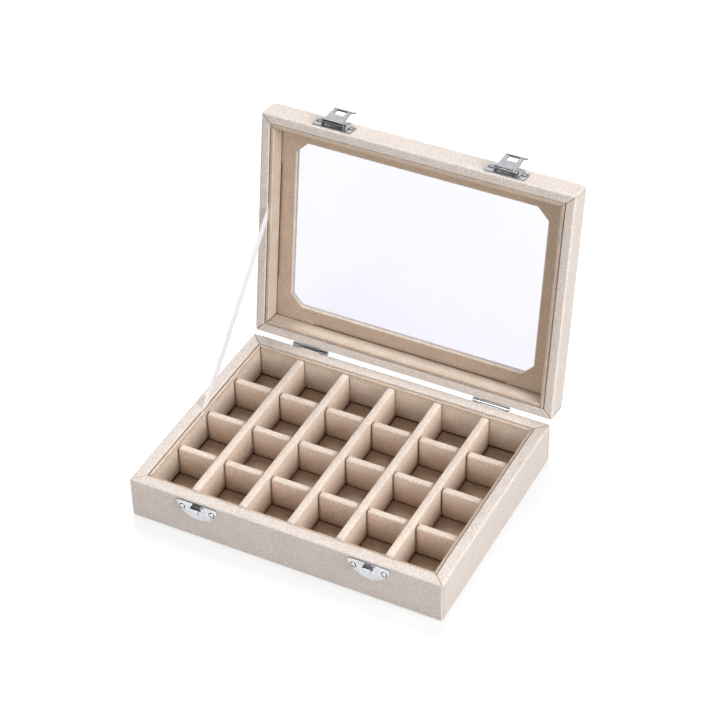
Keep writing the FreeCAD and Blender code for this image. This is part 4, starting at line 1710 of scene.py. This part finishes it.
class Lamp(NamedTuple):
    """A lamp: its name, its place in metres, its power in watts, and whether bright metal mirrors it."""

    name: str
    place: Place
    power: float
    mirrored: bool = True


class Card(NamedTuple):
    """A dark card: its name, and its azimuth and lowest and highest elevation, in degrees."""

    name: str
    azimuth: float
    low: float
    high: float


def direction(azimuth: float, elevation: float) -> Vector:
    """Points to an azimuth, counterclockwise from the right, and an elevation, both in degrees."""
    turn = math.radians(azimuth)
    rise = math.radians(elevation)
    return Vector((math.cos(turn) * math.cos(rise), math.sin(turn) * math.cos(rise), math.sin(rise)))


def aim(thing: Piece, place: Vector, ahead: Vector, roll: float = 0.0) -> None:
    """Puts a lamp or camera at a place, facing ahead with a roll in degrees."""
    tilt = Quaternion((0.0, 0.0, 1.0), math.radians(roll))
    thing.location = place
    thing.rotation_mode = "QUATERNION"
    thing.rotation_quaternion = ahead.to_track_quat("-Z", "Y") @ tilt


@dataclass
class Studio:
    """Camera, lamps, white surroundings and a pale floor."""

    camera_place: Place = (474.2, -887.4, 923.1)
    azimuth: float = 27.47
    elevation: float = 39.38
    roll: float = -1.12
    lens: float = 114.98
    sensor: float = 36.0
    lamps: tuple[Lamp, ...] = (
        Lamp("right_lamp", (1.62, -0.2, 0.72), 30.5),
        Lamp("front_lamp", (-0.1, -1.7, 0.7), 15.2),
        Lamp("back_lamp", (-0.45, 0.9, 1.5), 27.5, mirrored=False),
    )
    lamp_side: float = 0.9
    lamp_target: Place = (0.0, 0.03, 0.05)
    sky: float = 0.165
    bright_room: float = 0.8
    floor_reach: float = 4.0
    floor_tone: float = 0.36
    floor_glow: float = 0.66
    far_glow: float = 1.0
    far_floor: Span = (0.65, 1.6)
    matt: float = 0.9
    cards: tuple[Card, ...] = (
        Card("back_card", 110, 4, 10),
        Card("left_card", 200, 8, 60),
        Card("front_card", 290, 30, 75),
    )
    card_distance: float = 2.5
    card_half: float = 50.0
    card_tone: tuple[float, ...] = (0.02, 0.02, 0.022, 1.0)

    def build(self) -> None:
        """Sets up the whole studio."""
        self.build_camera()
        for lamp in self.lamps:
            self.build_lamp(lamp)
        self.build_sky()
        self.build_floor()
        self.build_cards()
        bpy.context.scene.view_settings.view_transform = "Standard"

    def build_camera(self) -> None:
        """Puts the camera at the photograph's place."""
        data = bpy.data.cameras.new("camera")
        data.lens = self.lens
        data.sensor_width = self.sensor
        camera = place_object("camera", data)
        ahead = direction(90 + self.azimuth, -self.elevation)
        aim(camera, Vector(self.camera_place) * MM, ahead, self.roll)
        bpy.context.scene.camera = camera

    def build_lamp(self, lamp: Lamp) -> None:
        """Hangs a square lamp that faces the box."""
        data = bpy.data.lights.new(lamp.name, "AREA")
        data.shape = "SQUARE"
        data.size = self.lamp_side
        data.energy = lamp.power
        thing = place_object(lamp.name, data)
        thing.visible_glossy = lamp.mirrored
        aim(thing, Vector(lamp.place), Vector(self.lamp_target) - Vector(lamp.place))

    def build_sky(self) -> None:
        """Makes surroundings that look white and light the box softly."""
        world = bpy.data.worlds.new("surroundings")
        world.use_nodes = True
        shader = TreeBuilder(world.node_tree)
        path = shader.add("ShaderNodeLightPath").outputs
        strength: Any = self.sky
        levels = {"Is Glossy Ray": self.bright_room, "Is Camera Ray": 1.0, "Is Transmission Ray": 1.0}
        for ray, level in levels.items():
            choice = {"Value": path[ray], "To Min": strength, "To Max": level}
            strength = shader.add("ShaderNodeMapRange", choice).outputs["Result"]
        glow = shader.add("ShaderNodeBackground", {"Color": WHITE, "Strength": strength})
        shader.add("ShaderNodeOutputWorld", {"Surface": glow.outputs["Background"]})
        bpy.context.scene.world = world

    def add_stage(self, name: str, corners: Sequence[Sequence[float]], material: Material) -> Piece:
        """Adds a flat sheet that belongs to the studio.

        Args:
            name: the sheet's name.
            corners: its four corners, in metres.
            material: what it is made of.

        Returns:
            The sheet as an object.
        """
        mesh = bpy.data.meshes.new(name)
        mesh.from_pydata(corners, [], [(0, 1, 2, 3)])
        mesh.materials.append(material)
        sheet = place_object(name, mesh)
        return sheet

    def build_floor(self) -> None:
        """Lays a pale floor that looks white and still shows the box's shadow."""
        shader = ShaderTree("studio_floor")
        path = shader.add("ShaderNodeLightPath").outputs
        seen = shader.number("MAXIMUM", path["Is Camera Ray"], path["Is Transmission Ray"])
        seen = shader.number("MAXIMUM", seen, path["Is Glossy Ray"])
        distance = shader.add("ShaderNodeVectorMath", {0: shader.place}, operation="LENGTH").outputs["Value"]
        level = shader.spread(distance, self.far_floor, (self.floor_glow, self.far_glow))
        shader.principled(
            base_color=grey(self.floor_tone),
            roughness=self.matt,
            specular_ior_level=0.0,
            emission_color=WHITE,
            emission_strength=shader.number("MULTIPLY", seen, level),
        )
        far = self.floor_reach
        corners = ((-far, -far, 0.0), (far, -far, 0.0), (far, far, 0.0), (-far, far, 0.0))
        self.add_stage("studio_floor", corners, shader.material)

    def build_cards(self) -> None:
        """Hangs dark cards that only bright metal shows, so that its shapes read."""
        shader = ShaderTree("dark_card")
        shader.principled(base_color=self.card_tone, roughness=self.matt, specular_ior_level=0.0)
        for name, azimuth, low, high in self.cards:
            right = azimuth - self.card_half
            left = azimuth + self.card_half
            spots = ((right, low), (left, low), (left, high), (right, high))
            corners = [direction(turn, rise) * self.card_distance for turn, rise in spots]
            card = self.add_stage(name, corners, shader.material)
            for ray in ("camera", "diffuse", "transmission", "shadow", "volume_scatter"):
                setattr(card, "visible_" + ray, False)


def main() -> None:
    """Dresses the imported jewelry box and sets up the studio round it."""
    logging.basicConfig(level=logging.INFO, format="%(name)s: %(message)s")
    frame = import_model()
    sizes = BoxSizes()
    stations = Stations(sizes)
    finishes = Finishes()
    Studio().build()
    StayRibbon(sizes).build(finishes)
    BaseShell(sizes, stations).build(finishes)
    Tray(sizes, stations).build(finishes)
    LidShell(sizes, stations).build(finishes)
    LidLining(sizes, stations).build(finishes)
    Metalwork().build(frame, finishes)
    Screws(sizes).build(finishes)
    InnerBoards().build(frame, finishes)
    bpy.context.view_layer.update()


if __name__ == "__main__":
    main()
